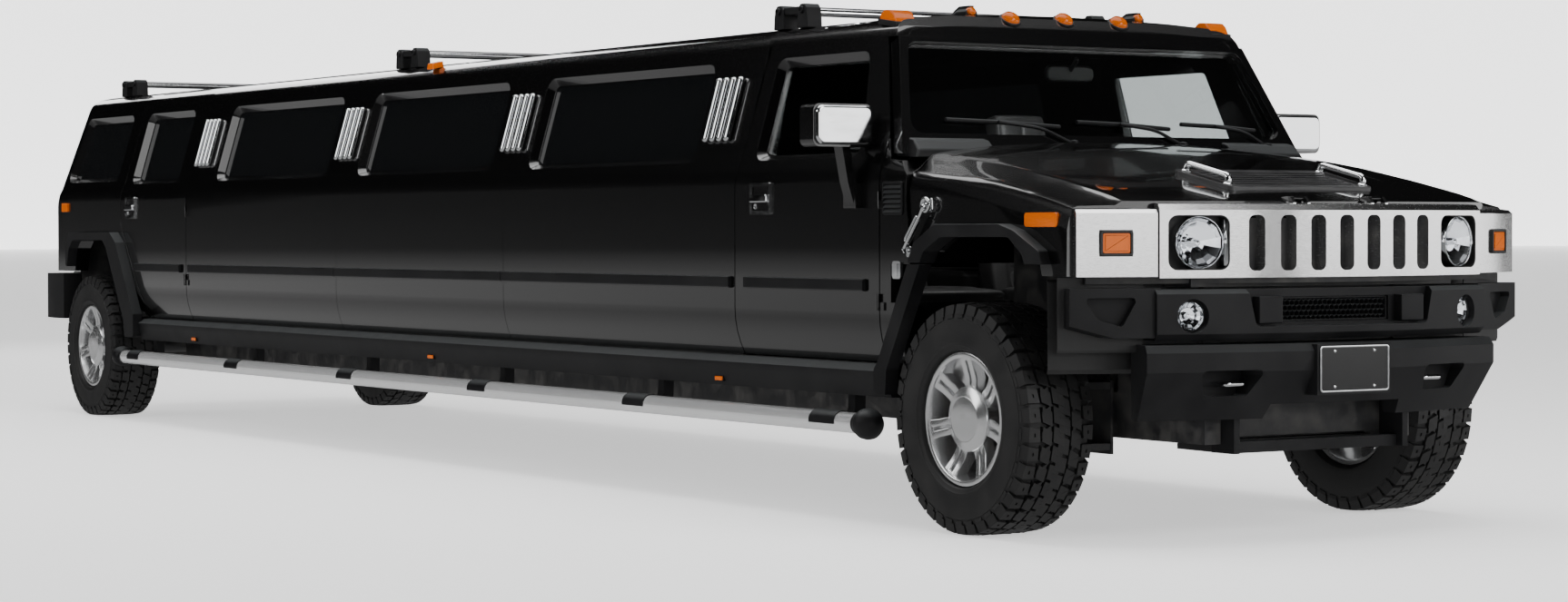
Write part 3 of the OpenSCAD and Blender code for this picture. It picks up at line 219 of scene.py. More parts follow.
def dress(names, finish, edge=0.0, steps=2):
    """Gives solids of the frame their material, with eased edges and clean shading."""
    for name in names:
        part = nodes[name]
        part.data.materials.clear()
        part.data.materials.append(finish)
        for face in part.data.polygons:
            face.use_smooth = True
        join = part.modifiers.new("join", "WELD")
        join.merge_threshold = 0.00002
        if edge:
            flat = part.modifiers.new("flat", "DECIMATE")
            flat.decimate_type = "DISSOLVE"
            flat.angle_limit = math.radians(0.6)
            ease = round_edges(part, edge, steps, 32)
            ease.use_clamp_overlap = True
            ease.loop_slide = False
        split = part.modifiers.new("split", "EDGE_SPLIT")
        split.split_angle = math.radians(28)
        even_shading(part)


frame_coat, tree, shader = new_finish("frame_coat", (0.02, 0.02, 0.021), 0.6)
grit = pattern(tree, "Noise", 14.0, 6.0)
add_tones(tree, grit, shader.inputs["Base Color"], (0.42, (0.012, 0.012, 0.013)), (0.75, (0.05, 0.048, 0.045)))
add_range(tree, grit, shader.inputs["Roughness"], 0.45, 0.8)
add_bump(tree, shader, pattern(tree, "Noise", 160.0), 0.15, 0.002)
dress(("chassis_frame", "front_suspension", "rear_axle", "floor_pan", "wheel_houses", "grille_back",
       "knuckle_right", "knuckle_left"), frame_coat)
cast_iron, tree, shader = new_finish("cast_iron", (0.10, 0.10, 0.105), 0.55, 0.7)
skin = pattern(tree, "Noise", 60.0, 5.0)
add_tones(tree, skin, shader.inputs["Base Color"], (0.3, (0.06, 0.06, 0.063)), (0.8, (0.16, 0.155, 0.15)))
add_bump(tree, shader, skin, 0.35, 0.002)
dress(("engine_block",), cast_iron)


# All-terrain tyres: moulded black rubber, a plain sidewall with a rim rib, and five rows of lugs.
# The outer lugs fold over the shoulder; every lug is cut once and repeated round the tread.
def take(piece):
    """Selects one piece alone."""
    bpy.ops.object.select_all(action="DESELECT")
    piece.select_set(True)
    bpy.context.view_layer.objects.active = piece


def open_mesh(piece, pick="VERT"):
    """Takes one piece into edit mode."""
    take(piece)
    bpy.ops.object.mode_set(mode="EDIT")
    bpy.ops.mesh.select_mode(type=pick)


def close_mesh(piece):
    """Merges what meets, turns the faces outwards and leaves edit mode."""
    bpy.ops.mesh.select_mode(type="VERT")
    bpy.ops.mesh.select_all(action="SELECT")
    bpy.ops.mesh.remove_doubles(threshold=0.00001)
    bpy.ops.mesh.normals_make_consistent(inside=False)
    bpy.ops.object.mode_set(mode="OBJECT")
    return piece


def trace(name, points):
    """A chain of edges drawn point by point, left open in edit mode."""
    bpy.ops.object.select_all(action="DESELECT")
    bpy.ops.mesh.primitive_plane_add(size=1, location=(0, 0, 0))
    piece = bpy.context.object
    piece.name = name
    open_mesh(piece)
    bpy.ops.mesh.select_all(action="SELECT")
    bpy.ops.mesh.merge(type="CENTER")
    bpy.ops.transform.translate(value=points[0])
    for a, b in zip(points, points[1:]):
        bpy.ops.mesh.extrude_vertices_move(TRANSFORM_OT_translate={"value": Vector(b) - Vector(a)})
    bpy.ops.mesh.select_all(action="SELECT")
    return piece


def lathe(name, axis, steps, profile):
    """A ring turned about an axis of the vehicle, from pairs of a place along the axis and a radius."""
    spots = {"X": lambda a, r: (a, 0, r), "Y": lambda a, r: (0, a, r), "Z": lambda a, r: (r, 0, a)}
    piece = trace(name, [spots[axis](along, radius) for along, radius in profile])
    bpy.ops.mesh.spin(steps=steps, angle=2 * math.pi, center=(0, 0, 0),
                      axis=[float(way == axis) for way in "XYZ"])
    return close_mesh(piece)


def block(name, low, high):
    """A cube between two corners, left open in edit mode with all of it selected."""
    bpy.ops.object.select_all(action="DESELECT")
    low, high = Vector(low), Vector(high)
    bpy.ops.mesh.primitive_cube_add(size=1, location=(low + high) / 2)
    piece = bpy.context.object
    piece.name = name
    piece.scale = high - low
    bpy.ops.object.transform_apply(location=True, rotation=True, scale=True)
    open_mesh(piece)
    bpy.ops.mesh.select_all(action="SELECT")
    return piece


def choose(piece, test, pick="FACE"):
    """Selects the faces or points whose middle and normal pass the test."""
    bpy.ops.mesh.select_mode(type=pick)
    bpy.ops.mesh.select_all(action="DESELECT")
    mesh = bmesh.from_edit_mesh(piece.data)
    for item in mesh.faces if pick == "FACE" else mesh.verts:
        item.select_set(test(item.calc_center_median() if pick == "FACE" else item.co, item.normal))
    mesh.select_flush_mode()
    bmesh.update_edit_mesh(piece.data)


def unite(name, pieces):
    """Joins pieces into the first of them, under a new name."""
    bpy.ops.object.select_all(action="DESELECT")
    for piece in pieces:
        piece.select_set(True)
    bpy.context.view_layer.objects.active = pieces[0]
    if len(pieces) > 1:
        bpy.ops.object.join()
    pieces[0].name = name
    pieces[0].data.name = name
    return pieces[0]


def smooth(piece, angle=30):
    """Shades a finished piece smooth between its sharp edges."""
    take(piece)
    bpy.ops.object.shade_smooth_by_angle(angle=math.radians(angle + 4))
    return piece


def soften(piece, width, steps=2, angle=30):
    """Rounds the edges of a finished piece and shades it smooth."""
    take(piece)
    bpy.ops.object.modifier_apply(modifier=round_edges(piece, width, steps, angle).name)
    return smooth(piece, angle)


def fit(piece, body, finish, *stands_for, slot=None):
    """Gives a finished piece its material and its body, and hides the solids that it stands for. The slot is
    not used.
    """
    piece.data.materials.clear()
    piece.data.materials.append(finish)
    even_shading(piece)
    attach(piece, body)
    if stands_for:
        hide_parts(*stands_for)
    return piece


def copied(piece, name, matrix):
    """A copy with its own mesh, moved or mirrored by a matrix in the mesh itself."""
    twin = piece.copy()
    twin.data = piece.data.copy()
    twin.name = twin.data.name = name
    bpy.context.scene.collection.objects.link(twin)
    twin.data.transform(matrix)
    if matrix.determinant() < 0:
        twin.data.flip_normals()
    return twin


tyre_r = 0.404
carcass = lathe("tyre", "Y", 96, (
    (0.113, 0.232), (0.128, 0.238), (0.137, 0.246), (0.141, 0.262), (0.143, 0.300), (0.1415, 0.340),
    (0.136, 0.366), (0.128, 0.381), (0.116, 0.3885), (0.060, 0.3905), (0.0, 0.391), (-0.060, 0.3905),
    (-0.116, 0.3885), (-0.128, 0.381), (-0.136, 0.366), (-0.1405, 0.350), (-0.1425, 0.349),
    (-0.1425, 0.345), (-0.1415, 0.343), (-0.143, 0.300), (-0.1415, 0.270), (-0.1435, 0.266),
    (-0.1435, 0.258), (-0.140, 0.254), (-0.136, 0.243), (-0.128, 0.2385), (-0.1075, 0.2368),
    (-0.1045, 0.2315), (0.0, 0.2312), (0.113, 0.232)))
lugs = []
pitches = 38
step = 2 * math.pi / pitches
for side in (-1, 1):
    lug = block("lug", (-0.0255, 0.089, 0.382), (0.0255, 0.139, tyre_r))
    choose(lug, lambda p, n: p.y > 0.13 and p.z > 0.39, "VERT")
    bpy.ops.transform.translate(value=(0, -0.006, -0.004))
    choose(lug, lambda p, n: p.y > 0.13 and p.z < 0.39, "VERT")
    bpy.ops.transform.translate(value=(0, 0.002, -0.016))
    choose(lug, lambda p, n: p.y < 0.1 and p.x > 0, "VERT")
    bpy.ops.transform.translate(value=(-0.006, 0.004, 0))
    choose(lug, lambda p, n: n.z > 0.7)
    bpy.ops.mesh.inset(thickness=0.0175)
    bpy.ops.mesh.extrude_region_move(TRANSFORM_OT_translate={"value": (0, 0, -0.005)})
    bpy.ops.object.mode_set(mode="OBJECT")
    if side < 0:
        lug.data.transform(Matrix.Rotation(math.pi, 4, "Z"))
    lugs.append(lug)
    rib = block("lug", (-0.022, 0.1375, 0.3535), (0.016, 0.1425, 0.3665))
    bpy.ops.object.mode_set(mode="OBJECT")
    rib.data.transform(Matrix.Rotation(0 if side > 0 else math.pi, 4, "Z"))
    lugs.append(rib)
    for shift, tilt, inner, outer, length in (
        (0.25, 24, 0.041, 0.081, 0.050), (0.72, -30, 0.046, 0.083, 0.022),
    ):
        lug = block("lug", (-length / 2, inner, 0.384), (length / 2, outer, tyre_r + 0.0005))
        choose(lug, lambda p, n: p.y > (inner + outer) / 2, "VERT")
        bpy.ops.transform.translate(value=(math.tan(math.radians(tilt)) * (outer - inner), 0, 0))
        bpy.ops.object.mode_set(mode="OBJECT")
        half_turn = Matrix.Rotation(0 if side > 0 else math.pi, 4, "Z")
        lug.data.transform(Matrix.Rotation(step * shift, 4, "Y") @ half_turn)
        lugs.append(lug)
for shift, near, far in ((0.0, -0.034, 0.012), (0.5, -0.012, 0.034)):
    lug = block("lug", (-0.0275, near, 0.384), (0.0275, far, tyre_r + 0.0008))
    choose(lug, lambda p, n: p.y > (near + far) / 2, "VERT")
    bpy.ops.transform.translate(value=(0.016, 0, 0))
    bpy.ops.object.mode_set(mode="OBJECT")
    lug.data.transform(Matrix.Rotation(step * shift, 4, "Y"))
    lugs.append(lug)
tread = unite("tread", lugs)
open_mesh(tread)
bpy.ops.mesh.select_all(action="SELECT")
bpy.ops.mesh.spin(steps=pitches - 1, dupli=True, angle=-step * (pitches - 1), center=(0, 0, 0), axis=(0, 1, 0))
bpy.ops.object.mode_set(mode="OBJECT")
tyre = unite("tyre", [carcass, tread])
smooth(tyre, 26)

rubber, tree, shader = new_finish("tyre_rubber", (0.012, 0.012, 0.0125), 0.62)
wear = pattern(tree, "Noise", 9.0, 5.0)
add_tones(tree, wear, shader.inputs["Base Color"],
          (0.35, (0.0045, 0.0045, 0.0048)), (0.8, (0.013, 0.0125, 0.012)))
add_range(tree, wear, shader.inputs["Roughness"], 0.5, 0.72)
add_bump(tree, shader, pattern(tree, "Noise", 420.0, 2.0), 0.25, 0.0006)

# Cast wheels: one bright plated casting with a deep barrel, seven pairs of spokes that rise to the rim,
# and a wide domed cap over the bolts.
barrel = lathe("wheel", "Y", 96, (
    (-0.1235, 0.2135), (-0.1262, 0.2180), (-0.1268, 0.2265), (-0.1250, 0.2325), (-0.1205, 0.2352),
    (-0.1120, 0.2340), (-0.1060, 0.2300), (-0.0500, 0.2210), (0.0900, 0.2220), (0.1060, 0.2300),
    (0.1190, 0.2300), (0.1120, 0.2160), (0.0900, 0.2080), (-0.0300, 0.2030), (-0.0850, 0.2060),
    (-0.1120, 0.2110), (-0.1235, 0.2135)))
spoke = block("spoke", (-0.034, -0.094, 0.070), (0.034, -0.046, 0.214))
bpy.ops.mesh.subdivide(number_cuts=3)
choose(spoke, lambda p, n: p.z > 0.2, "VERT")
bpy.ops.transform.translate(value=(0, -0.024, 0))
bpy.ops.transform.resize(value=(1.12, 1, 1), center_override=(0, 0, 0.21))
choose(spoke, lambda p, n: 0.16 < p.z < 0.2, "VERT")
bpy.ops.transform.translate(value=(0, -0.011, 0))
choose(spoke, lambda p, n: abs(p.x) > 0.03 and n.y > -0.9, "VERT")
bpy.ops.transform.resize(value=(0.94, 1, 1), center_override=(0, 0, 0.14))
choose(spoke, lambda p, n: n.y < -0.9 and abs(p.x) < 0.02 and 0.09 < p.z < 0.2)
bpy.ops.mesh.inset(thickness=0.011)
bpy.ops.mesh.extrude_region_move(TRANSFORM_OT_translate={"value": (0, 0.030, 0)})
bpy.ops.object.mode_set(mode="OBJECT")
soften(spoke, 0.0035, 2, 28)
open_mesh(spoke)
bpy.ops.mesh.select_all(action="SELECT")
spokes = 7
bpy.ops.mesh.spin(steps=spokes - 1, dupli=True, angle=2 * math.pi * (spokes - 1) / spokes, center=(0, 0, 0),
                  axis=(0, 1, 0))
bpy.ops.object.mode_set(mode="OBJECT")
hub = lathe("hub", "Y", 64, (
    (-0.0300, 0.0350), (-0.0300, 0.0960), (-0.0700, 0.1000), (-0.0880, 0.1130), (-0.0960, 0.1165),
    (-0.1020, 0.1160), (-0.1070, 0.1120), (-0.1090, 0.1050), (-0.1170, 0.0870), (-0.1210, 0.0800),
    (-0.1205, 0.0780), (-0.1215, 0.0760), (-0.1235, 0.0500), (-0.1242, 0.0200), (-0.1243, 0.0002)))
back_plate = lathe("brake", "Y", 48, (
    (0.0260, 0.0360), (0.0260, 0.1700), (0.0140, 0.1720), (0.0120, 0.1700), (0.0100, 0.1050),
    (-0.0060, 0.1000), (-0.0060, 0.0360), (0.0260, 0.0360)))
wheel = smooth(unite("wheel", [barrel, spoke, hub]), 30)
smooth(back_plate, 30)
plating, tree, shader = new_finish("wheel_plating", (0.86, 0.865, 0.87), 0.2, 0.93)
haze = pattern(tree, "Noise", 22.0, 4.0)
add_range(tree, haze, shader.inputs["Roughness"], 0.14, 0.26)
brake_iron, tree, shader = new_finish("brake_iron", (0.06, 0.06, 0.06), 0.5, 0.8)
rust = pattern(tree, "Noise", 40.0, 5.0)
add_tones(tree, rust, shader.inputs["Base Color"], (0.4, (0.03, 0.03, 0.03)), (0.8, (0.09, 0.07, 0.055)))
add_bump(tree, shader, rust, 0.3, 0.001)
for corner in ("front_right", "front_left", "rear_right", "rear_left"):
    low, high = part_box("tyre_" + corner)
    middle = (low + high) / 2
    spot = Matrix.Translation(middle)
    if corner.endswith("left"):
        spot = spot @ Matrix.Scale(-1, 4, (0, 1, 0))
    body = "wheel_" + corner
    fit(copied(tyre, "tyre_tread_" + corner, spot), body, rubber, "tyre_" + corner)
    fit(copied(wheel, "cast_wheel_" + corner, spot), body, plating, "rim_" + corner)
    fit(copied(back_plate, "brake_disc_" + corner, spot), body, brake_iron)
for spare in (tyre, wheel, back_plate):
    bpy.data.objects.remove(spare)

# Painted body: pressed steel panels in deep gloss black under a thick clear coat. The skins are joined
# at the shut lines, and every folded edge is eased, so the light draws a thin line along it.
body_paint, tree, shader = new_finish("body_paint", (0.0012, 0.0012, 0.0013), 0.22)
shader.inputs["Coat Weight"].default_value = 1.0
shader.inputs["Coat Roughness"].default_value = 0.025
shader.inputs["Coat IOR"].default_value = 1.55
shader.inputs["Specular IOR Level"].default_value = 0.35
flake = pattern(tree, "Noise", 900.0, 1.0)
add_range(tree, flake, shader.inputs["Roughness"], 0.18, 0.27)
add_bump(tree, shader, pattern(tree, "Noise", 34.0, 2.0), 0.012, 0.0006)
dress(("cowl", "windshield_frame", "roof_panel", "stretch_side_right", "stretch_side_left", "rear_quarters",
       "door_front_right", "door_front_left", "door_rear_right", "door_rear_left", "tailgate", "hood_shell"),
      body_paint, 0.004)


# Panes: flat toughened glass set behind the sloped frames. The cabin glass is tinted nearly black,
# and only the windshield is left clear enough to show the front seats.
def glazing(name, colour, through):
    """Glass of one tint, with faint streaks."""
    finish, tree, shader = new_finish(name, colour, 0.02)
    shader.inputs["IOR"].default_value = 1.5
    shader.inputs["Transmission Weight"].default_value = through
    streak = pattern(tree, "Noise", 3.0, 3.0)
    add_range(tree, streak, shader.inputs["Roughness"], 0.008, 0.03)
    return finish


tinted_glass = glazing("tinted_glass", (0.006, 0.0065, 0.007), 0.35)
clear_glass = glazing("clear_glass", (0.80, 0.83, 0.83), 1.0)
smoked_glass = glazing("smoked_glass", (0.30, 0.32, 0.32), 1.0)
dress(("fixed_windows", "glass_rear_right", "glass_rear_left", "tailgate_glass"), tinted_glass, 0.0015, 1)
dress(("glass_front_right", "glass_front_left"), smoked_glass, 0.0015, 1)
dress(("windshield",), clear_glass, 0.0015, 1)

# Flares, rocker covers and bumpers: moulded plastic with a fine black grain, clipped and screwed over the
# steel. Faces that look upward are painted a lighter grey, a painted highlight where the sky lights them.
satin_trim, tree, shader = new_finish("satin_trim", (0.008, 0.008, 0.0085), 0.45)
fade = pattern(tree, "Noise", 5.0, 4.0)
place = tree.nodes.new("ShaderNodeTexCoord")
facing = tree.nodes.new("ShaderNodeSeparateXYZ")
# Painted highlight: the base colour turns lighter grey as the face turns upward.
painted_top_highlight = tree.nodes.new("ShaderNodeMix")
painted_top_highlight.data_type = "RGBA"
shaded, painted_highlight_grey, mixed = painted_top_highlight.inputs[6], painted_top_highlight.inputs[7], painted_top_highlight.outputs[2]
tree.links.new(place.outputs["Normal"], facing.inputs["Vector"])
add_range(tree, facing.outputs["Z"], painted_top_highlight.inputs["Factor"], 0.0, 1.0, 0.45, 0.85)
add_tones(tree, fade, shaded, (0.35, (0.0055, 0.0055, 0.006)), (0.75, (0.011, 0.011, 0.0115)))
# The lighter grey of the painted highlight on the upward faces.
painted_highlight_grey.default_value = (0.050, 0.053, 0.054, 1)
tree.links.new(mixed, shader.inputs["Base Color"])
add_range(tree, fade, shader.inputs["Roughness"], 0.38, 0.5)
shader.inputs["Specular IOR Level"].default_value = 0.16
add_bump(tree, shader, pattern(tree, "Voronoi", 520.0), 0.22, 0.0004)
dress(("cladding", "hood_flares", "front_bumper", "lower_bumper", "rear_bumper"), satin_trim, 0.005)

# Hood vent: a moulded plastic grid of slats, screwed into the opening of the hood. It is painted a lighter
# grey than the flares, a painted sheen for the light that the slat edges catch.
vent_plastic, tree, shader = new_finish("vent_plastic", (0.03, 0.03, 0.031), 0.4)
vent_sheen_noise = pattern(tree, "Noise", 9.0, 4.0)
# Painted sheen: both tones are lighter than the black of the flares, standing in for light on the slats.
add_tones(tree, vent_sheen_noise, shader.inputs["Base Color"], (0.35, (0.022, 0.022, 0.023)), (0.7, (0.04, 0.04, 0.041)))
add_range(tree, vent_sheen_noise, shader.inputs["Roughness"], 0.32, 0.46)
dress(("hood_vent",), vent_plastic, 0.003)

# Bright parts: polished plating for the bars, hooks, handles and rims, with a faint haze from wiping.
# The pieces that wear it are cast or bent, plated, and made further down.
bright_trim, tree, shader = new_finish("bright_trim", (0.83, 0.84, 0.85), 0.06, 1.0)
wipe = pattern(tree, "Noise", 12.0, 4.0, (1, 1, 3))
add_range(tree, wipe, shader.inputs["Roughness"], 0.04, 0.14)

# Grille and corner bezels: heavy plated castings with a fine vertical brushing. The hinge brackets on
# the top edge are bare black steel.
brushed_bright, tree, shader = new_finish("brushed_bright", (0.72, 0.725, 0.73), 0.2, 1.0)
grain = pattern(tree, "Noise", 60.0, 4.0, (1, 1, 14))
add_range(tree, grain, shader.inputs["Roughness"], 0.14, 0.28)
add_bump(tree, shader, grain, 0.04, 0.0006)
place = tree.nodes.new("ShaderNodeTexCoord")
rise = tree.nodes.new("ShaderNodeSeparateXYZ")
tree.links.new(place.outputs["Object"], rise.inputs["Vector"])
plate_top, bracket_foot = 1.151, 1.152
add_range(tree, rise.outputs["Z"], shader.inputs["Metallic"], 1.0, 0.0, plate_top, bracket_foot)
add_range(tree, rise.outputs["Z"], shader.inputs["Base Color"], 0.725, 0.006, plate_top, bracket_foot)
dress(("grille",), brushed_bright, 0.004)


# Lamp lenses: clear, amber and red plastic, moulded with fine flutes on the inside. The side markers on the
# hood are single amber mouldings, pressed into the flares.
def lens(name, colour, through):
    """Coloured lens plastic with a fluted relief."""
    finish, tree, shader = new_finish(name, colour, 0.06)
    shader.inputs["Transmission Weight"].default_value = through
    shader.inputs["Specular IOR Level"].default_value = 0.25
    flute = pattern(tree, "Noise", 90.0, 2.0)
    add_bump(tree, shader, flute, 0.2, 0.001)
    return finish


amber_lens = lens("amber_lens", (0.46, 0.085, 0.0), 0.0)
red_lens = lens("red_lens", (0.42, 0.008, 0.008), 0.2)
lamp_glass = lens("lamp_glass", (0.9, 0.92, 0.93), 0.5)
dress(("hood_markers",), amber_lens, 0.004)


# Headlamps: a faceted bowl and bulb cap behind a domed lens, in a bright rim. Each sits in a deep black
# moulding with one polished cheek, and the moulding is clipped into the opening of the grille.
def round_rect(width, height, radius, steps=5):
    """The outline of a rectangle with round corners, about its middle."""
    points = []
    for sy, sz, start in ((1, 1, 0), (-1, 1, 90), (-1, -1, 180), (1, -1, 270)):
        for i in range(steps + 1):
            turn = math.radians(start + 90 * i / steps)
            points.append((sy * (width / 2 - radius) + radius * math.cos(turn),
                           sz * (height / 2 - radius) + radius * math.sin(turn)))
    return points


def prism(name, points, push):
    """A flat outline drawn point by point, filled and pushed out into a solid."""
    piece = trace(name, list(points) + [points[0]])
    bpy.ops.mesh.remove_doubles(threshold=0.00001)
    bpy.ops.mesh.edge_face_add()
    bpy.ops.mesh.extrude_region_move(TRANSFORM_OT_translate={"value": push})
    return close_mesh(piece)


def plaque(name, axis, centre, size, push):
    """A plate across one axis: its width, height and corner radius, pushed out from its centre."""
    x, y, z = centre
    spots = {"X": lambda u, v: (x, y + u, z + v), "Y": lambda u, v: (x + u, y, z + v),
             "Z": lambda u, v: (x + u, y + v, z)}
    outline = [spots[axis](u, v) for u, v in round_rect(*size)]
    return prism(name, outline, [push if way == axis else 0 for way in "XYZ"])


def sink(piece, way, rim, push, reach=9.0):
    """Insets the faces that look one way, such as -Y, and pushes what is left along that axis."""
    sign, axis = int(way[0] + "1"), "XYZ".index(way[1])
    open_mesh(piece, "FACE")
    choose(piece, lambda p, n: n[axis] * sign > 0.9 and abs(p.y) < reach)
    bpy.ops.mesh.inset(thickness=rim)
    shove = [push if i == axis else 0 for i in range(3)]
    bpy.ops.mesh.extrude_region_move(TRANSFORM_OT_translate={"value": shove})
    return close_mesh(piece)


def pair_up(piece, name, finish, *stands_for, bodies=("body",)):
    """Fits a right-hand piece and its mirrored left-hand twin."""
    twin = copied(piece, name + "_left", Matrix.Scale(-1, 4, (0, 1, 0)))
    piece.name = piece.data.name = name + "_right"
    fit(piece, bodies[0], finish, *stands_for)
    fit(twin, bodies[-1], finish)


face_centre, face_radius = 2.745, 2.44


def on_face(y, z):
    """Where a piece drawn straight ahead sits on the round front of the vehicle."""
    return (Matrix.Translation((face_centre, 0, 0)) @ Matrix.Rotation(math.asin(y / face_radius), 4, "Z")
            @ Matrix.Translation((face_radius, 0, z)))


def round_lamp(name, spot, rim_finish, bowl, bulb, rim, cover, *stands_for):
    """A bowl with its bulb, a rim and a domed cover, each given by a number of steps and a profile."""
    bowl, bulb, rim, cover = [lathe(name, "X", *turned) for turned in (bowl, bulb, rim, cover)]
    for piece in (bulb, rim, cover):
        smooth(piece, 40)
    bowl = unite(name + "_bowl", [bowl, bulb])
    for piece in (bowl, rim, cover):
        piece.data.transform(spot)
    pair_up(bowl, name + "_bowl", silver, *stands_for)
    pair_up(rim, name + "_rim", rim_finish)
    pair_up(cover, name + "_lens", clear_lens)


silver, tree, shader = new_finish("lamp_silver", (0.62, 0.63, 0.64), 0.04, 1.0)
add_range(tree, pattern(tree, "Noise", 30.0), shader.inputs["Roughness"], 0.03, 0.1)
clear_lens, tree, shader = new_finish("clear_lens", (0.97, 0.98, 1.0), 0.01)
shader.inputs["Transmission Weight"].default_value = 1.0
shader.inputs["IOR"].default_value = 1.08
flutes = pattern(tree, "Noise", 16.0, 1.0, (0.2, 6, 0.4))
add_bump(tree, shader, flutes, 0.05, 0.002)
recess_black, tree, shader = new_finish("recess_black", (0.008, 0.008, 0.008), 0.5)
add_bump(tree, shader, pattern(tree, "Voronoi", 500.0), 0.2, 0.0004)

head_spot = on_face(-0.588, 1.017)
bezel = plaque("headlamp_bezel", "X", (-0.004, 0, 0), (0.225, 0.183, 0.033), -0.0455)
sink(bezel, "+X", 0.003, -0.0425)
soften(bezel, 0.001, 2).data.transform(head_spot)
cheek = prism("headlamp_cheek", [(-0.0465, 0.0840, -0.078), (-0.030, 0.0885, -0.078), (-0.014, 0.0985, -0.078),
                                 (-0.0055, 0.1085, -0.078), (-0.0465, 0.1085, -0.078)], (0, 0, 0.156))
soften(cheek, 0.0015, 2, 40).data.transform(head_spot)
pair_up(bezel, "headlamp_bezel", recess_black)
pair_up(cheek, "headlamp_cheek", silver)
round_lamp(
    "headlamp", head_spot, bright_trim,
    (14, (
        (-0.006, 0.0815), (-0.018, 0.0725), (-0.030, 0.0565), (-0.039, 0.0350), (-0.0435, 0.0120),
        (-0.0455, 0.0120), (-0.0460, 0.0350), (-0.034, 0.0600), (-0.020, 0.0760), (-0.008, 0.0835),
        (-0.006, 0.0815))),
    (24, (
        (-0.0450, 0.0135), (-0.0300, 0.0125), (-0.0180, 0.0110), (-0.0130, 0.0075), (-0.0115, 0.0003))),
    (64, (
        (-0.0420, 0.0850), (-0.0080, 0.0848), (-0.0020, 0.0855), (0.0000, 0.0872), (-0.0020, 0.0890),
        (-0.0100, 0.0896), (-0.0420, 0.0896), (-0.0420, 0.0850))),
    (64, (
        (-0.0070, 0.0845), (-0.0030, 0.0850), (0.0010, 0.0760), (0.0065, 0.0560), (0.0100, 0.0340),
        (0.0112, 0.0003), (0.0090, 0.0003), (0.0078, 0.0340), (0.0044, 0.0550), (-0.0010, 0.0745),
        (-0.0070, 0.0845))),
    "front_lamps")

# Fog lamps: smaller bowls with flat domed glass in black rims, clamped deep in the round pockets of the bumper.
# Their bowls and glass are made like those of the headlamps.
round_lamp(
    "fog", on_face(-0.615, 0.772), recess_black,
    (16, (
        (-0.0150, 0.0480), (-0.0260, 0.0420), (-0.0400, 0.0270), (-0.0460, 0.0060), (-0.0480, 0.0060),
        (-0.0440, 0.0280), (-0.0280, 0.0450), (-0.0170, 0.0500), (-0.0150, 0.0480))),
    (20, (
        (-0.0470, 0.0090), (-0.0300, 0.0085), (-0.0250, 0.0060), (-0.0240, 0.0003))),
    (48, (
        (-0.0500, 0.0505), (-0.0140, 0.0500), (-0.0110, 0.0515), (-0.0120, 0.0545), (-0.0160, 0.0562),
        (-0.0500, 0.0562), (-0.0500, 0.0505))),
    (48, (
        (-0.0160, 0.0495), (-0.0120, 0.0498), (-0.0080, 0.0400), (-0.0045, 0.0200), (-0.0038, 0.0003),
        (-0.0058, 0.0003), (-0.0065, 0.0200), (-0.0100, 0.0390), (-0.0160, 0.0495))))

# Turn lamps in the grille corners: amber plastic blocks with a raised middle, in black rubber frames that are
# pressed into square openings.
turn_spot = on_face(-0.868, 1.016)
frame_ring = plaque("turn_frame", "X", (-0.038, 0, 0), (0.1150, 0.0870, 0.012), 0.042)
sink(frame_ring, "+X", 0.0095, -0.012)
soften(frame_ring, 0.002, 2).data.transform(turn_spot)
block_lens = plaque("turn_lens", "X", (-0.008, 0, 0), (0.0940, 0.0660, 0.007), 0.008)
sink(block_lens, "+X", 0.008, 0.003)
soften(block_lens, 0.002, 2).data.transform(turn_spot)
pair_up(frame_ring, "turn_frame", recess_black)
pair_up(block_lens, "turn_lens", amber_lens, "marker_lamps")

# Honeycomb insert: one black plastic moulding, a net of six-sided cells in a rounded frame. It is clipped in
# from behind and sits back in the bumper.
cell_gap, row_gap = 0.0210, 0.0364
net = []
for shift in (0.0, 0.5):
    cell = lathe("cell", "X", 6, (
        (5.0990, 0.0135), (5.1170, 0.0128), (5.1180, 0.0118), (5.1170, 0.0106), (5.0990, 0.0100),
        (5.0990, 0.0135)))
    cell.data.transform(Matrix.Translation((0, -0.2205 + shift * cell_gap, 0.7555 + shift * row_gap)))
    take(cell)
    for name, count, gap in (("across", 22, (0, cell_gap, 0)), ("upward", 3, (0, 0, row_gap))):
        row = cell.modifiers.new(name, "ARRAY")
        row.count = count - int(shift * 2)
        row.use_relative_offset = False
        row.use_constant_offset = True
        row.constant_offset_displace = gap
        bpy.ops.object.modifier_apply(modifier=name)
    net.append(cell)
edge = plaque("net_frame", "X", (5.0955, 0, 0.790), (0.4796, 0.0836, 0.010), 0.0250)
sink(edge, "+X", 0.0065, -0.0215)
soften(edge, 0.002, 2)
net = unite("honeycomb_insert", [edge] + net)
fit(net, "body", satin_trim, "bumper_mesh")


# Splash panel: a dark pressed sheet behind both bumpers, which closes the gaps below the grille. Short
# baffles shut the corners, and a steel angle shuts the slit above the skid plate.
def arc_sheet(name, profile, sweep, start):
    """A sheet that follows the round front, from one bearing in degrees over a sweep."""
    sheet = trace(name, profile)
    bpy.ops.mesh.spin(steps=max(6, round(sweep / 1.8)), angle=math.radians(sweep), center=(face_centre, 0, 0),
                      axis=(0, 0, -1))
    close_mesh(sheet)
    sheet.data.transform(Matrix.Translation((face_centre, 0, 0)) @ Matrix.Rotation(math.radians(start), 4, "Z")
                         @ Matrix.Translation((-face_centre, 0, 0)))
    thick = sheet.modifiers.new("thick", "SOLIDIFY")
    thick.thickness = 0.004
    bpy.ops.object.modifier_apply(modifier=thick.name)
    return smooth(sheet)


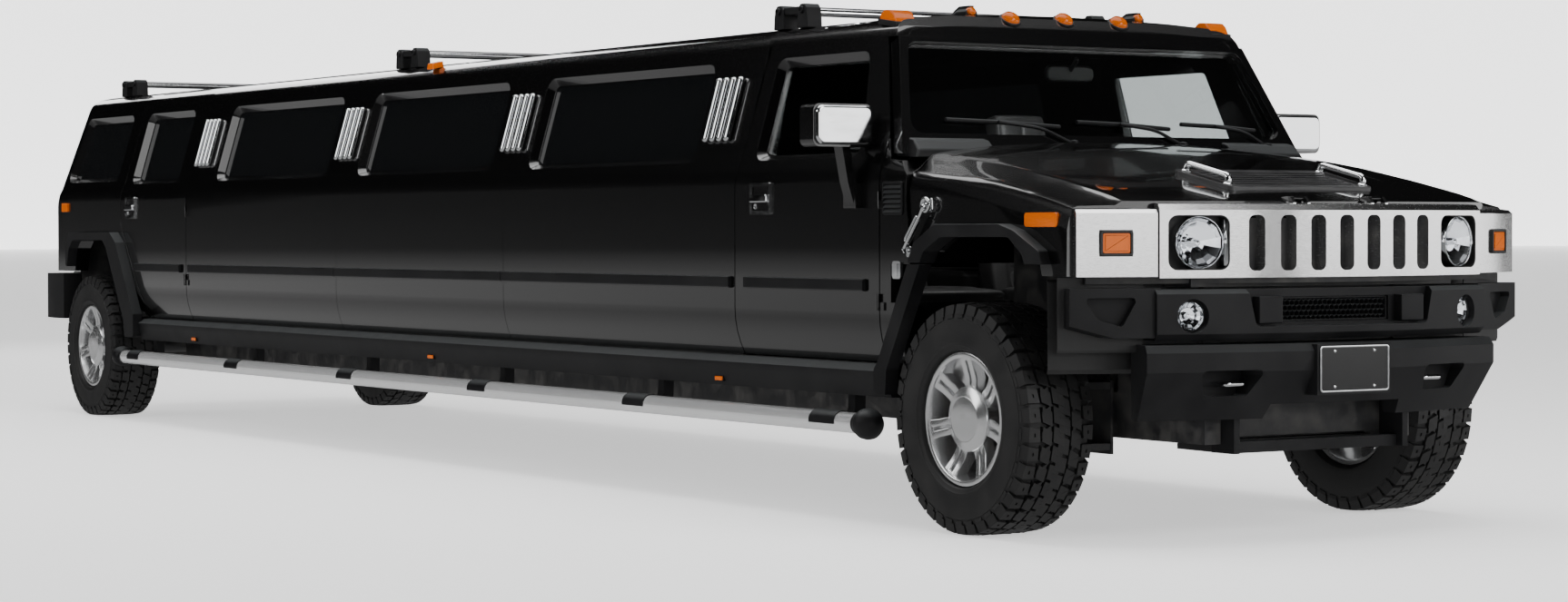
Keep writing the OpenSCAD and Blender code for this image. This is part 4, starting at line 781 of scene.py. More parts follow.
sheet = arc_sheet("splash_panel", [(4.992, 0, 0.575), (5.004, 0, 0.590), (5.004, 0, 0.885), (4.992, 0, 0.893)],
                  51, -25.5)
fit(sheet, "body", recess_black)
baffle = arc_sheet("corner_baffle", [(5.100, 0, 0.650), (5.105, 0, 0.662), (5.105, 0, 0.901)], 7.2, -25.2)
pair_up(baffle, "corner_baffle", recess_black)
angle = prism("skid_angle", [(4.862, -0.37, 0.3335), (4.905, -0.37, 0.3335), (4.905, -0.37, 0.3375),
                             (4.866, -0.37, 0.3375), (4.866, -0.37, 0.3600), (4.862, -0.37, 0.3600)],
              (0, 0.74, 0))
fit(soften(angle, 0.001, 1), "body", recess_black)

# Bumper pads: two blocks of black plastic with rounded edges, stuck on the bumper beside the insert, where
# another vehicle would touch first.
pad = block("bumper_pad", (5.122, -0.372, 0.744), (5.166, -0.268, 0.836))
bpy.ops.mesh.bevel(offset=0.006, segments=2, affect="EDGES")
close_mesh(pad)
pair_up(smooth(pad), "bumper_pad", satin_trim)


# Tow hooks: steel rods, bent and plated, bolted to the frame rails. Their loops show through the openings of
# the lower bumper.
def tube(name, path, radius, sides=12):
    """A bent rod: a ring of points pushed along a path and turned with it."""
    path = [Vector(p) for p in path]
    bpy.ops.object.select_all(action="DESELECT")
    first = (path[1] - path[0]).normalized()
    bpy.ops.mesh.primitive_circle_add(vertices=sides, radius=radius, fill_type="NGON", location=path[0],
                                      rotation=first.to_track_quat("Z", "Y").to_euler())
    piece = bpy.context.object
    piece.name = name
    bpy.ops.object.transform_apply(location=True, rotation=True, scale=True)
    open_mesh(piece, "FACE")
    bpy.ops.mesh.select_all(action="SELECT")
    facing = first
    for i in range(1, len(path)):
        leg = path[i] - path[i - 1]
        ahead = path[i + 1] - path[i] if i + 1 < len(path) else leg
        mid = (ahead.normalized() + leg.normalized()).normalized()
        bpy.ops.mesh.extrude_region_move(TRANSFORM_OT_translate={"value": leg})
        swing = facing.rotation_difference(mid)
        axis, turn = swing.to_axis_angle()
        if turn > 0.0001:
            picked = bmesh.from_edit_mesh(piece.data)
            spin = Matrix.Translation(path[i]) @ Matrix.Rotation(turn, 4, axis) @ Matrix.Translation(-path[i])
            bmesh.ops.transform(picked, matrix=spin, verts=[v for v in picked.verts if v.select])
            bmesh.update_edit_mesh(piece.data)
        facing = mid
    return close_mesh(piece)


def bend(points, radius, steps=5):
    """The points of a path with its corners rounded."""
    points = [Vector(p) for p in points]
    out = [points[0]]
    for a, b, c in zip(points, points[1:], points[2:]):
        before = b + (a - b).normalized() * radius
        after = b + (c - b).normalized() * radius
        for i in range(steps + 1):
            t = i / steps
            out.append(before * (1 - t) ** 2 + b * 2 * t * (1 - t) + after * t ** 2)
    return out + [points[-1]]


hook = tube("tow_hook", bend([(5.020, -0.402, 0.538), (5.128, -0.406, 0.542), (5.128, -0.484, 0.542),
                              (5.020, -0.488, 0.538)], 0.016), 0.0085)
pair_up(smooth(hook, 40), "tow_hook", bright_trim)

# Number plate: a blank black sheet in a bright frame, held by four screws with round heads to the pad of the
# lower bumper.
plate_x, plate_z = 5.2203, 0.587
plate = plaque("plate", "X", (plate_x, 0, plate_z), (0.303, 0.150, 0.010), 0.0016)
fit(soften(plate, 0.0004, 2), "body", body_paint, slot="satin_trim")
surround = plaque("plate_frame", "X", (plate_x, 0, plate_z), (0.3110, 0.1580, 0.012), 0.0050)
sink(surround, "+X", 0.0065, -0.0042)
fit(soften(surround, 0.0012, 2), "body", bright_trim)
screws = []
for y in (-0.089, 0.089):
    for z in (0.5265, 0.6475):
        screw = lathe("screw", "X", 20, (
            (5.2200, 0.0030), (5.2219, 0.0055), (5.2240, 0.0052), (5.2250, 0.0036), (5.2252, 0.0003)))
        screw.data.transform(Matrix.Translation((0, y, z)))
        screws.append(smooth(screw, 40))
fit(unite("plate_screws", screws), "body", bright_trim)

# Bars on the window posts: four half-round castings to a cluster, plated, and stuck to the sloped skin.
# Places along the side are counted from the front axle.
front_axle = 4.340
lean = math.atan(0.135 / 0.465)
slope = Matrix(((1, 0, 0, 0), (0, math.sin(lean), -math.cos(lean), -0.950),
                (0, math.cos(lean), math.sin(lean), 1.310), (0, 0, 0, 1)))
low_end, high_end = 0.098 / math.cos(lean), 0.354 / math.cos(lean)
bar = plaque("post_bar", "Z", (0, (low_end + high_end) / 2, 0.0003), (0.032, high_end - low_end, 0.0145),
             0.0245)
soften(bar, 0.0118, 4, 40)
bars = []
bar_gap = 0.054
for middle in (-1.796, -3.565, -5.359, -7.195):
    for j in (-1.5, -0.5, 0.5, 1.5):
        along = Matrix.Translation((front_axle + middle + j * bar_gap, 0, 0))
        bars.append(copied(bar, "post_bar", slope @ along))
bpy.data.objects.remove(bar)
pair_up(unite("post_bars", bars), "post_bars", bright_trim, "pillar_bars")

# Rubbing strips: extruded rubber along the doors and the long panels, one length stuck to each panel, with a
# raised band along the middle.
front_doors, rear_doors = ("front_door_right", "front_door_left"), ("rear_door_right", "rear_door_left")
for name, start, end, bodies in (
    ("front_door", -1.502, -0.667, front_doors), ("panel_front", -3.562, -1.616, ("body",)),
    ("panel_middle", -5.356, -3.568, ("body",)), ("panel_rear", -7.278, -5.362, ("body",)),
    ("rear_door", -8.096, -7.406, rear_doors),
):
    strip = block("strip", (front_axle + start - 0.001, -0.9850, 0.8365),
                  (front_axle + end + 0.001, -0.9690, 0.8835))
    choose(strip, lambda p, n: p.y < -0.98, "VERT")
    bpy.ops.transform.resize(value=(1, 1, 0.82), center_override=(0, -0.98, 0.868))
    choose(strip, lambda p, n: n.y < -0.9)
    bpy.ops.mesh.inset(thickness=0.006)
    bpy.ops.transform.translate(value=(0, -0.0015, 0))
    soften(close_mesh(strip), 0.0016, 2, 25)
    pair_up(strip, "rubbing_strip_" + name, satin_trim, bodies=bodies)

# Door handles: plated castings bolted through the door skin, each a frame round a hollow with a thick grip
# across it and a round lock below.
for name, x, z, bodies in (
    ("front_door", -1.391, 1.183, front_doors), ("rear_door", -8.167, 1.195, rear_doors),
):
    pulls = []
    surround = plaque("handle_frame", "Y", (front_axle + x, -0.9700, z), (0.146, 0.122, 0.009), -0.0088)
    sink(surround, "-Y", 0.0135, 0.0072)
    pulls.append(soften(surround, 0.0018, 2))
    grip = plaque("handle_grip", "Y", (front_axle + x, -0.9720, z), (0.120, 0.030, 0.006), -0.0170)
    pulls.append(soften(grip, 0.0050, 3, 40))
    lock = lathe("handle_lock", "Y", 24, (
        (-0.9715, 0.0110), (-0.9750, 0.0110), (-0.9762, 0.0095), (-0.9752, 0.0080), (-0.9752, 0.0003)))
    lock.data.transform(Matrix.Translation((front_axle + x - 0.036, 0, z - 0.030)))
    pulls.append(smooth(lock))
    pair_up(unite("handle", pulls), "handle_" + name, bright_trim, bodies=bodies)

# Door mirrors: a plated cap clipped to the front of the black housing, and a silvered pane let into its back.
# They turn with the front doors.
cap = plaque("mirror_cap", "X", (3.6800, -1.0750, 1.4430), (0.240, 0.144, 0.030), 0.0240)
soften(cap, 0.0110, 4, 40)
pair_up(cap, "mirror_cap", bright_trim, bodies=front_doors)
pane = plaque("mirror_pane", "X", (3.5945, -1.0750, 1.4420), (0.226, 0.130, 0.024), -0.0040)
sink(pane, "-X", 0.004, 0.0015)
pair_up(soften(pane, 0.0008, 2), "mirror_pane", silver, bodies=front_doors)

# Side steps: long polished tubes with black ball ends, on arched brackets bolted under the rockers.
# Black pads are riveted over the tube above every bracket.
step_y, step_z, step_r = -1.010, 0.358, 0.0380
brackets, bracket_gap = 6, 1.420
step_tube = lathe("step_tube", "X", 40, (
    (-3.865, 0.0003), (-3.865, 0.0360), (-3.863, step_r), (-1.96, step_r), (-0.055, step_r), (1.85, step_r),
    (3.753, step_r), (3.755, 0.0360), (3.755, 0.0003)))
step_tube.data.transform(Matrix.Translation((0, step_y, step_z)))
smooth(step_tube)
step_steel, tree, shader = new_finish("step_steel", (0.90, 0.905, 0.91), 0.2, 0.75)
brushing = pattern(tree, "Noise", 20.0, 3.0, (0.2, 4, 4))
add_range(tree, brushing, shader.inputs["Roughness"], 0.17, 0.23)
pair_up(step_tube, "step_tube", step_steel, "side_steps")
ends = []
for x, way in ((3.752, 1), (-3.862, -1)):
    knob = lathe("step_end", "X", 40, [(way * u, r) for u, r in (
        (-0.060, 0.0385), (-0.060, 0.0410), (-0.046, 0.0425), (-0.040, 0.0440), (-0.034, 0.0500),
        (-0.018, 0.0560), (0.000, 0.0575), (0.018, 0.0550), (0.034, 0.0460), (0.046, 0.0330),
        (0.053, 0.0170), (0.0555, 0.0003))])
    knob.data.transform(Matrix.Translation((x, step_y, step_z)))
    ends.append(smooth(knob, 34))
for i in range(brackets):
    x = front_axle - 0.845 - i * bracket_gap
    arm = prism("step_arm", [(x - 0.025, y, z) for y, z in (
        (-1.012, 0.333), (-0.925, 0.328), (-0.885, 0.340), (-0.868, 0.366), (-0.866, 0.4797), (-0.914, 0.4797),
        (-0.916, 0.400), (-0.930, 0.376), (-1.012, 0.380))], (0.050, 0, 0))
    ends.append(soften(arm, 0.004, 2))
    turns = [math.radians(t) for t in range(-10, 191, 20)]
    inner_r = step_r + 0.0012
    curve = [(inner_r * math.cos(t), inner_r * math.sin(t)) for t in turns]
    outer = [(u * 1.07, v * 1.07) for u, v in reversed(curve)]
    pad = prism("step_pad", [(x - 0.085, step_y + u, step_z + v) for u, v in curve + outer], (0.170, 0, 0))
    ends.append(soften(pad, 0.0009, 2, 40))
pair_up(unite("step_fittings", ends), "step_fittings", satin_trim)

# Hood latches: plated levers with a ring pull on the hood sides, on two feet each, that hook into catches
# screwed to the cowl.
ring_r, wire_r = 0.0225, 0.0070
lever = [tube("latch", bend([
    (4.074, -0.966, 1.152), (4.076, -0.990, 1.148), (4.060, -0.992, 1.118), (3.962, -0.992, 1.004),
    (3.952, -0.990, 0.985), (3.950, -0.968, 0.982)], 0.012), 0.0080)]
turns = [t * math.pi / 6 for t in range(13)]
ring = lathe("latch_ring", "Y", 28, [
    (-0.987 + wire_r * math.sin(t), ring_r + wire_r * math.cos(t)) for t in turns])
ring.data.transform(Matrix.Translation((4.084, 0, 1.150)))
lever.append(smooth(ring, 40))
grip = plaque("latch_grip", "Y", (0, -0.986, 0), (0.030, 0.118, 0.009), -0.0130)
sink(grip, "-Y", 0.006, 0.005)
soften(grip, 0.0022, 2)
grip.data.transform(Matrix.Translation((4.010, 0, 1.062)) @ Matrix.Rotation(math.radians(41), 4, "Y"))
lever.append(grip)
for x, z, size, push in (
    (4.074, 1.150, (0.060, 0.050, 0.010), -0.0140), (3.957, 0.984, (0.030, 0.040, 0.008), -0.0160),
):
    lever.append(soften(plaque("latch_foot", "Y", (x, -0.9580, z), size, push), 0.003, 2))
pair_up(unite("hood_latch", lever), "hood_latch", bright_trim, bodies=("hood",))
catch = plaque("latch_catch", "Y", (3.886, -0.9660, 0.918), (0.052, 0.064, 0.010), -0.0120)
sink(catch, "-Y", 0.010, -0.008)
pair_up(soften(catch, 0.0025, 2), "latch_catch", bright_trim)

# Air outlets in the cowl sides: one black plastic moulding, a shallow frame with six slanted blades, clipped
# into the skin.
blade_gap = 0.0175
blades = []
outlet = plaque("outlet_frame", "Y", (3.8560, -0.9660, 1.176), (0.126, 0.120, 0.012), -0.0100)
sink(outlet, "-Y", 0.008, 0.0085)
blades.append(soften(outlet, 0.0015, 2))
for i in range(6):
    blade = prism("outlet_blade", [(3.8000, y, 1.130 + i * blade_gap + z) for y, z in (
        (-0.9690, 0.0000), (-0.9785, -0.0070), (-0.9790, -0.0052), (-0.9690, 0.0070))], (0.112, 0, 0))
    blades.append(soften(blade, 0.0006, 2))
pair_up(unite("cowl_outlet", blades), "cowl_outlet", satin_trim)

# Roof rack: plated cross bars held in black cast feet, each foot a pair of blocks on a rubber pad.
# A cap screw goes through each block, and the feet are bolted through the roof skin.
bar_z = 1.921
bars, feet = [], []
for x in (-1.553, -5.046, -8.809):
    rod = lathe("rack_bar", "Y", 32, (
        (-0.7120, 0.0003), (-0.7120, 0.0160), (-0.7090, 0.0185), (-0.35, 0.0190), (0.35, 0.0190),
        (0.7090, 0.0185), (0.7120, 0.0160), (0.7120, 0.0003)))
    rod.data.transform(Matrix.Translation((front_axle + x, 0, bar_z)))
    bars.append(smooth(rod))
    for side in (-1, 1):
        for d in (-0.085, 0.085):
            knob = prism("rack_block", [(front_axle + x + d + u, side * 0.734, v) for u, v in (
                (-0.040, 1.850), (0.040, 1.850), (0.036, 1.900), (0.030, 1.928), (0.016, 1.945),
                (-0.016, 1.945), (-0.030, 1.928), (-0.036, 1.900))], (0, -side * 0.070, 0))
            feet.append(soften(knob, 0.005, 3, 25))
            head = lathe("rack_screw", "Y", 24, (
                (0.733, 0.0003), (0.733, 0.0150), (0.742, 0.0150), (0.744, 0.0130), (0.744, 0.0080),
                (0.739, 0.0070), (0.739, 0.0003)))
            turned = Matrix.Scale(side, 4, (0, 1, 0))
            head.data.transform(Matrix.Translation((front_axle + x + d, 0, bar_z)) @ turned)
            if side < 0:
                head.data.flip_normals()
            feet.append(smooth(head))
        bridge = plaque("rack_bridge", "Y", (front_axle + x, side * 0.726, bar_z), (0.150, 0.030, 0.013),
                        -side * 0.064)
        feet.append(soften(bridge, 0.004, 2))
fit(unite("rack_bars", bars), "body", bright_trim, "roof_rack", slot="rack_metal")
fit(unite("rack_feet", feet), "body", satin_trim)

# Roof lamps: amber wedges at the corners, three low amber domes on the brow, and two dark teardrop lamps
# with amber noses. Each sits on a black gasket pressed on the sloped brow.
domes, gaskets, drops, noses = [], [], [], []
for x, y, z, tilt in ((-0.756, 0.0, 1.8585, 32), (-0.748, 0.258, 1.8550, 34), (-0.748, -0.258, 1.8550, 34)):
    sit = Matrix.Translation((front_axle + x, y, z)) @ Matrix.Rotation(math.radians(tilt), 4, "Y")
    dome = lathe("dome", "Z", 36, (
        (-0.004, 0.0360), (0.003, 0.0370), (0.014, 0.0335), (0.023, 0.0260), (0.0285, 0.0140),
        (0.0300, 0.0003)))
    dome.data.transform(sit)
    domes.append(smooth(dome, 34))
    skirt = lathe("skirt", "Z", 36, (
        (-0.020, 0.0003), (-0.020, 0.0430), (0.002, 0.0435), (0.0055, 0.0400), (0.0055, 0.0340),
        (0.0055, 0.0003)))
    skirt.data.transform(sit)
    gaskets.append(smooth(skirt, 34))
for side in (-1, 1):
    drop_y = side * 0.400
    wedge = prism("wedge", [(front_axle + u, side * 0.702, v) for u, v in (
        (-0.834, 1.843), (-0.724, 1.828), (-0.742, 1.860), (-0.760, 1.876), (-0.806, 1.879), (-0.828, 1.864))],
        (0, side * 0.094, 0))
    domes.append(soften(wedge, 0.007, 3, 20))
    foot = prism("skirt", [(front_axle + u, side * 0.698, v) for u, v in (
        (-0.839, 1.8300), (-0.718, 1.8080), (-0.718, 1.8310), (-0.839, 1.8480))], (0, side * 0.102, 0))
    gaskets.append(soften(foot, 0.003, 2))
    drop = block("drop", (3.410, drop_y - 0.027, 1.862), (3.540, drop_y + 0.027, 1.908))
    bpy.ops.mesh.subdivide(number_cuts=3)
    choose(drop, lambda p, n: p.z > 1.89, "VERT")
    bpy.ops.transform.resize(value=(1, 0.45, 1), center_override=(0, drop_y, 0))
    choose(drop, lambda p, n: p.x < 3.44, "VERT")
    bpy.ops.transform.resize(value=(1, 0.30, 0.35), center_override=(0, drop_y, 1.866))
    choose(drop, lambda p, n: 3.44 < p.x < 3.46, "VERT")
    bpy.ops.transform.resize(value=(1, 0.70, 0.72), center_override=(0, drop_y, 1.866))
    close_mesh(drop)
    drops.append(soften(drop, 0.006, 3, 20))
    nose = lathe("nose", "X", 28, (
        (3.530, 0.0200), (3.542, 0.0195), (3.549, 0.0150), (3.552, 0.0003)))
    nose.data.transform(Matrix.Translation((0, drop_y, 1.886)) @ Matrix.Scale(0.85, 4, (0, 0, 1)))
    noses.append(smooth(nose, 34))
    middle = prism("mid_lamp", [(-0.2850 + u, side * 0.756, v) for u, v in (
        (-0.035, 1.8350), (0.035, 1.8350), (0.028, 1.8640), (-0.028, 1.8640))], (0, side * 0.056, -0.012))
    domes.append(soften(middle, 0.005, 3, 20))
fit(unite("roof_lamp_lenses", domes + noses), "body", amber_lens)
fit(unite("roof_lamp_skirts", gaskets + drops), "body", satin_trim)

# Small lamps along the rockers and at the rear corners: amber plastic lenses, snapped into thin black frames
# on the rockers and straight into the skin at the corners.
lenses, frames = [], []
for x in (-1.690, -4.279, -7.196):
    frame_ring = plaque("sill_frame", "Y", (front_axle + x, -0.9610, 0.482), (0.0632, 0.0232, 0.003), -0.0215)
    sink(frame_ring, "-Y", 0.003, 0.006)
    frames.append(soften(frame_ring, 0.0008, 2))
    glow = plaque("sill_lens", "Y", (front_axle + x, -0.9700, 0.482), (0.0560, 0.0165, 0.003), -0.0155)
    lenses.append(soften(glow, 0.0025, 3))
glow = plaque("corner_lens", "Y", (-4.898, -0.9600, 1.204), (0.0990, 0.0510, 0.010), -0.0200)
sink(glow, "-Y", 0.007, 0.002)
lenses.append(soften(glow, 0.003, 2))
pair_up(unite("small_lenses", lenses), "small_lenses", amber_lens)
pair_up(unite("small_frames", frames), "small_frames", satin_trim)

# Hood handles: bent rods, plated, each on two turned feet that are screwed through the vent panel. They lie
# along the slope of the hood.
grab_y = -0.307
vent_tilt = Matrix.Translation((4.668, 0, 1.264)) @ Matrix.Rotation(math.radians(12.2), 4, "Y")
grab = tube("hood_grab", bend([(0.029, grab_y, 0.004), (0.029, grab_y, 0.037), (0.259, grab_y, 0.037),
                               (0.259, grab_y, 0.004)], 0.022), 0.0115, 16)
grabs = [smooth(grab, 40)]
for u in (0.029, 0.259):
    flange = lathe("grab_foot", "Z", 28, (
        (0.0070, 0.0003), (0.0070, 0.0180), (0.0110, 0.0180), (0.0140, 0.0140), (0.0145, 0.0003)))
    flange.data.transform(Matrix.Translation((u, grab_y, 0)))
    grabs.append(smooth(flange))
grab = unite("hood_grab", grabs)
grab.data.transform(vent_tilt)
pair_up(grab, "hood_grab", bright_trim, "hood_handles", bodies=("hood",))

# Windshield wipers: three black steel arms with rubber blades, on pivots through the cowl and parked along the
# foot of the glass. Black plastic corners cover the ends of the cowl.
shield_lean = math.radians(25.4)
shield_up = Vector((-math.sin(shield_lean), 0, math.cos(shield_lean)))
shield_out = Vector((math.cos(shield_lean), 0, math.sin(shield_lean)))
shield_foot = Vector((front_axle - 0.508, 0, 1.412))
wipers = []
for pivot, tip in ((-0.16, -0.70), (0.36, -0.10), (0.78, 0.40)):
    base = shield_foot + shield_up * -0.040 + shield_out * 0.006 + Vector((0.010, pivot, 0))
    knee = shield_foot + shield_up * 0.018 + shield_out * 0.022 + Vector((0, pivot * 0.75 + tip * 0.25, 0))
    end = shield_foot + shield_up * 0.050 + shield_out * 0.006 + Vector((0, pivot * 0.42 + tip * 0.58, 0))
    wipers.append(smooth(tube("wiper_arm", bend([base, knee, end], 0.04), 0.0065, 10), 50))
    start = shield_foot + shield_up * 0.040 - shield_out * 0.008 + Vector((0, pivot * 0.95 + tip * 0.05, 0))
    stop = shield_foot + shield_up * 0.062 - shield_out * 0.008 + Vector((0, tip, 0))
    blade = tube("wiper_blade", [start, start * 0.5 + stop * 0.5 + shield_up * 0.004, stop], 0.0085, 8)
    wipers.append(smooth(blade, 50))
    nut = lathe("wiper_pivot", "Z", 24, (
        (-0.020, 0.0003), (-0.020, 0.0190), (0.004, 0.0190), (0.014, 0.0150), (0.018, 0.0003)))
    nut.data.transform(Matrix.Translation(base))
    wipers.append(smooth(nut))
fit(unite("wipers", wipers), "body", satin_trim)
corner = prism("cowl_corner", [(x, -0.560, z) for x, z in (
    (3.794, 1.330), (3.930, 1.322), (3.918, 1.352), (3.880, 1.388), (3.840, 1.397), (3.794, 1.397))],
    (0, -0.360, 0))
open_mesh(corner, "VERT")
choose(corner, lambda p, n: p.y < -0.9 and p.z > 1.35, "VERT")
bpy.ops.transform.translate(value=(0, 0.022, 0))
pair_up(soften(close_mesh(corner), 0.008, 3, 20), "cowl_corner", satin_trim)

# Dashboard with the column and wheel: a grained soft moulding over a steel beam, bolted across the cabin
# behind the firewall.
cabin_plastic, tree, shader = new_finish("cabin_plastic", (0.03, 0.03, 0.032), 0.6)
shade = pattern(tree, "Noise", 6.0, 4.0)
add_tones(tree, shade, shader.inputs["Base Color"],
          (0.35, (0.010, 0.010, 0.011)), (0.75, (0.020, 0.020, 0.021)))
add_bump(tree, shader, pattern(tree, "Voronoi", 300.0), 0.2, 0.0006)
dress(("dashboard",), cabin_plastic, 0.008)

# Seats: dark hide stitched over foam, with sewn channels on the faces and separate headrests on posts.
# The front pair stand on boxes; one bench runs along the left of the lounge and one crosses its rear.
seat_leather, tree, shader = new_finish("seat_leather", (0.04, 0.038, 0.036), 0.5)
worn = pattern(tree, "Noise", 7.0, 5.0)
add_tones(tree, worn, shader.inputs["Base Color"], (0.35, (0.020, 0.020, 0.020)), (0.75, (0.042, 0.041, 0.041)))
add_range(tree, worn, shader.inputs["Roughness"], 0.4, 0.6)
add_bump(tree, shader, pattern(tree, "Voronoi", 240.0), 0.3, 0.0008)


def cushion(name, low, high, puff, channels):
    """A stuffed pad: a cut block with sewn channels across its top, swollen and rounded by subdivision."""
    piece = block(name, low, high)
    top = high[2]
    across = 0 if high[0] - low[0] > high[1] - low[1] else 1
    choose(piece, lambda p, n: n.z > 0.9)
    bpy.ops.mesh.inset(thickness=min(high[0] - low[0], high[1] - low[1]) * 0.16)
    bpy.ops.transform.translate(value=(0, 0, puff))
    mesh = bmesh.from_edit_mesh(piece.data)
    long_edges = [e for e in mesh.edges if all(v.co.z > top + puff * 0.5 for v in e.verts)
                  and abs((e.verts[0].co - e.verts[1].co).normalized()[across]) > 0.9]
    bmesh.ops.subdivide_edges(mesh, edges=long_edges, cuts=channels - 1, use_grid_fill=True)
    bmesh.update_edit_mesh(piece.data)
    choose(piece, lambda p, n: n.z > 0.9 and p.z > top + puff * 0.5)
    bpy.ops.mesh.inset(thickness=0.010, use_individual=True)
    bpy.ops.transform.translate(value=(0, 0, 0.012))
    close_mesh(piece)
    round_edges(piece, 0.012, 1, 50)
    swell = piece.modifiers.new("swell", "SUBSURF")
    swell.levels = swell.render_levels = 2
    for step_name in ("ease", "swell"):
        bpy.ops.object.modifier_apply(modifier=step_name)
    return smooth(piece, 60)


def upholster(piece, fill, *stands_for):
    fit(piece, "body", seat_leather, *stands_for)


upholster(cushion("bench_side", (-2.894, 0.325, 0.742), (2.450, 0.632, 0.872), 0.018, 12), 0.7, "seats")
backrest = cushion("bench_side_back", (-2.894, -0.150, -0.055), (2.450, 0.150, 0.045), 0.014, 12)
backrest.data.transform(Matrix.Translation((0, 0.715, 1.070)) @ Matrix.Rotation(math.radians(78), 4, "X"))
upholster(backrest, 0.6)
upholster(cushion("bench_rear", (-3.560, -0.555, 0.742), (-3.190, 0.555, 0.872), 0.018, 5), 0.7)
backrest = cushion("bench_rear_back", (-0.210, -0.555, -0.050), (0.210, 0.555, 0.050), 0.014, 5)
backrest.data.transform(Matrix.Translation((-3.635, 0, 1.120)) @ Matrix.Rotation(math.radians(80), 4, "Y"))
upholster(backrest, 0.6)
stands = []
for name, low, high in (("bench_side_box", (-2.894, 0.345, 0.5603), (2.450, 0.775, 0.750)),
                        ("bench_rear_box", (-3.715, -0.545, 0.5603), (-3.210, 0.545, 0.750)),
                        ("seat_box_left", (2.970, 0.180, 0.5603), (3.410, 0.620, 0.690)),
                        ("seat_box_right", (2.970, -0.620, 0.5603), (3.410, -0.180, 0.690))):
    box = block(name, low, high)
    choose(box, lambda p, n: abs(n.z) < 0.1)
    bpy.ops.mesh.inset(thickness=0.020, use_individual=True)
    bpy.ops.transform.shrink_fatten(value=-0.006)
    stands.append(soften(close_mesh(box), 0.006, 2))
fit(unite("seat_boxes", stands), "body", cabin_plastic)
posts = []
for side, name in ((-1, "right"), (1, "left")):
    y = side * 0.400
    base = cushion("seat_base_" + name, (2.945, y - 0.252, 0.690), (3.435, y + 0.252, 0.815), 0.016, 4)
    upholster(base, 0.75)
    tilt = Matrix.Translation((2.811, y, 1.020)) @ Matrix.Rotation(math.radians(78), 4, "Y")
    backrest = cushion("seat_back_" + name, (-0.305, -0.242, -0.052), (0.305, 0.242, 0.048), 0.014, 5)
    backrest.data.transform(tilt)
    upholster(backrest, 0.7)
    pillow = cushion("headrest_" + name, (-0.085, -0.128, -0.036), (0.085, 0.128, 0.034), 0.010, 2)
    pillow.data.transform(Matrix.Translation((2.722, y, 1.445)) @ Matrix.Rotation(math.radians(80), 4, "Y"))
    upholster(pillow, 0.8)
    for d in (-0.055, 0.055):
        post = tube("headrest_post", [(2.750, y + d, 1.280), (2.734, y + d, 1.400)], 0.0065)
        posts.append(smooth(post, 50))
fit(unite("headrest_posts", posts), "body", recess_black, slot="bright_trim")

# Inside mirror: a black plastic shell with a silvered pane, on a short stalk that is glued to the head of the
# windshield.
shell = plaque("inside_mirror", "X", (3.600, 0, 1.655), (0.220, 0.062, 0.024), 0.030)
soften(shell, 0.009, 3, 40)
stalk = tube("mirror_stalk", bend([(3.626, 0, 1.668), (3.650, 0, 1.690), (3.668, 0, 1.712)], 0.010), 0.009)
smooth(stalk, 50)
fit(unite("inside_mirror", [shell, stalk]), "body", recess_black, slot="cabin_plastic")
pane = plaque("inside_pane", "X", (3.6005, 0, 1.655), (0.206, 0.050, 0.018), -0.002)
fit(soften(pane, 0.0006, 2), "body", silver)

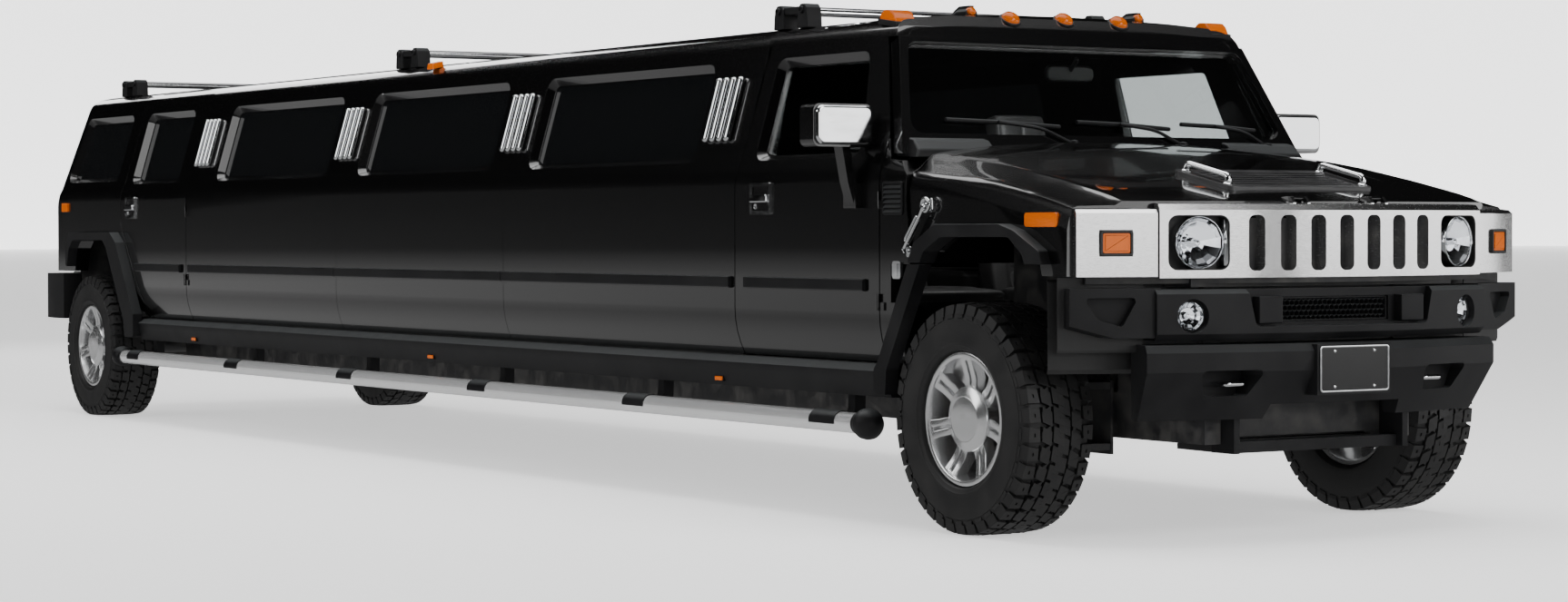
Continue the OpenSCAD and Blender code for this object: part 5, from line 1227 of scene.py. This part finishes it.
# Tail lamps: moulded red housings screwed into the corner posts, with a clear reversing window in the middle
# between two plated bands.
lamp_y, lamp_z = -0.876, 1.065
bands = []
glow = plaque("tail_lens", "X", (-5.0165, lamp_y, lamp_z), (0.0990, 0.2490, 0.012), -0.0320)
sink(glow, "-X", 0.007, 0.002)
pair_up(soften(glow, 0.004, 3), "tail_lens", red_lens, "tail_lamps")
clear = plaque("tail_window", "X", (-5.0440, lamp_y, lamp_z), (0.0800, 0.0640, 0.006), -0.0060)
pair_up(soften(clear, 0.0020, 3), "tail_window", lamp_glass)
for z in (1.024, 1.106):
    band = plaque("tail_band", "X", (-5.0400, lamp_y, z), (0.0860, 0.0070, 0.003), -0.0095)
    bands.append(soften(band, 0.0015, 2))
pair_up(unite("tail_bands", bands), "tail_bands", bright_trim)

# Tailgate fittings: a plated grip screwed on over the plate face, which is left empty, and a wiper with one
# black arm on a pivot below the glass.
grip = plaque("tailgate_grip", "X", (-5.0395, 0, 1.140), (0.420, 0.050, 0.016), -0.0240)
sink(grip, "-Z", 0.006, 0.012, reach=0.2)
fit(soften(grip, 0.0050, 3), "tailgate_body", bright_trim)
arm = [smooth(tube("rear_wiper", bend([(-5.046, 0.020, 1.296), (-5.062, 0.020, 1.300), (-5.050, 0.160, 1.352),
                                       (-5.036, 0.300, 1.388)], 0.02), 0.0060, 10), 50)]
blade = tube("rear_blade", [(-5.031, 0.100, 1.372), (-5.030, 0.290, 1.388), (-5.029, 0.480, 1.400)], 0.0080, 8)
arm.append(smooth(blade, 50))
nut = lathe("rear_pivot", "X", 28, (
    (-5.0350, 0.0003), (-5.0350, 0.0240), (-5.0500, 0.0240), (-5.0600, 0.0180), (-5.0640, 0.0003)))
nut.data.transform(Matrix.Translation((0, 0.020, 1.296)))
arm.append(smooth(nut))
fit(unite("rear_wiper", arm), "tailgate_body", satin_trim)

# Rear bumper: two ribbed rubber mats stuck on the step, and a pair of moulded red reflectors under the tail
# lamps.
mats = []
for side in (-1, 1):
    mat = block("bumper_mat", (-5.196, side * 0.640 - 0.180, 0.8158), (-5.076, side * 0.640 + 0.180, 0.8200))
    choose(mat, lambda p, n: n.z > 0.9)
    bpy.ops.mesh.subdivide(number_cuts=7)
    choose(mat, lambda p, n: n.z > 0.9)
    bpy.ops.mesh.inset(thickness=0.004, use_individual=True)
    bpy.ops.transform.translate(value=(0, 0, 0.003))
    mats.append(smooth(close_mesh(mat)))
fit(unite("bumper_mats", mats), "body", rubber)
reflex = plaque("rear_reflector", "X", (-5.2195, -0.700, 0.690), (0.150, 0.046, 0.010), -0.0060)
sink(reflex, "-X", 0.005, 0.0015)
pair_up(soften(reflex, 0.0015, 2), "rear_reflector", red_lens)
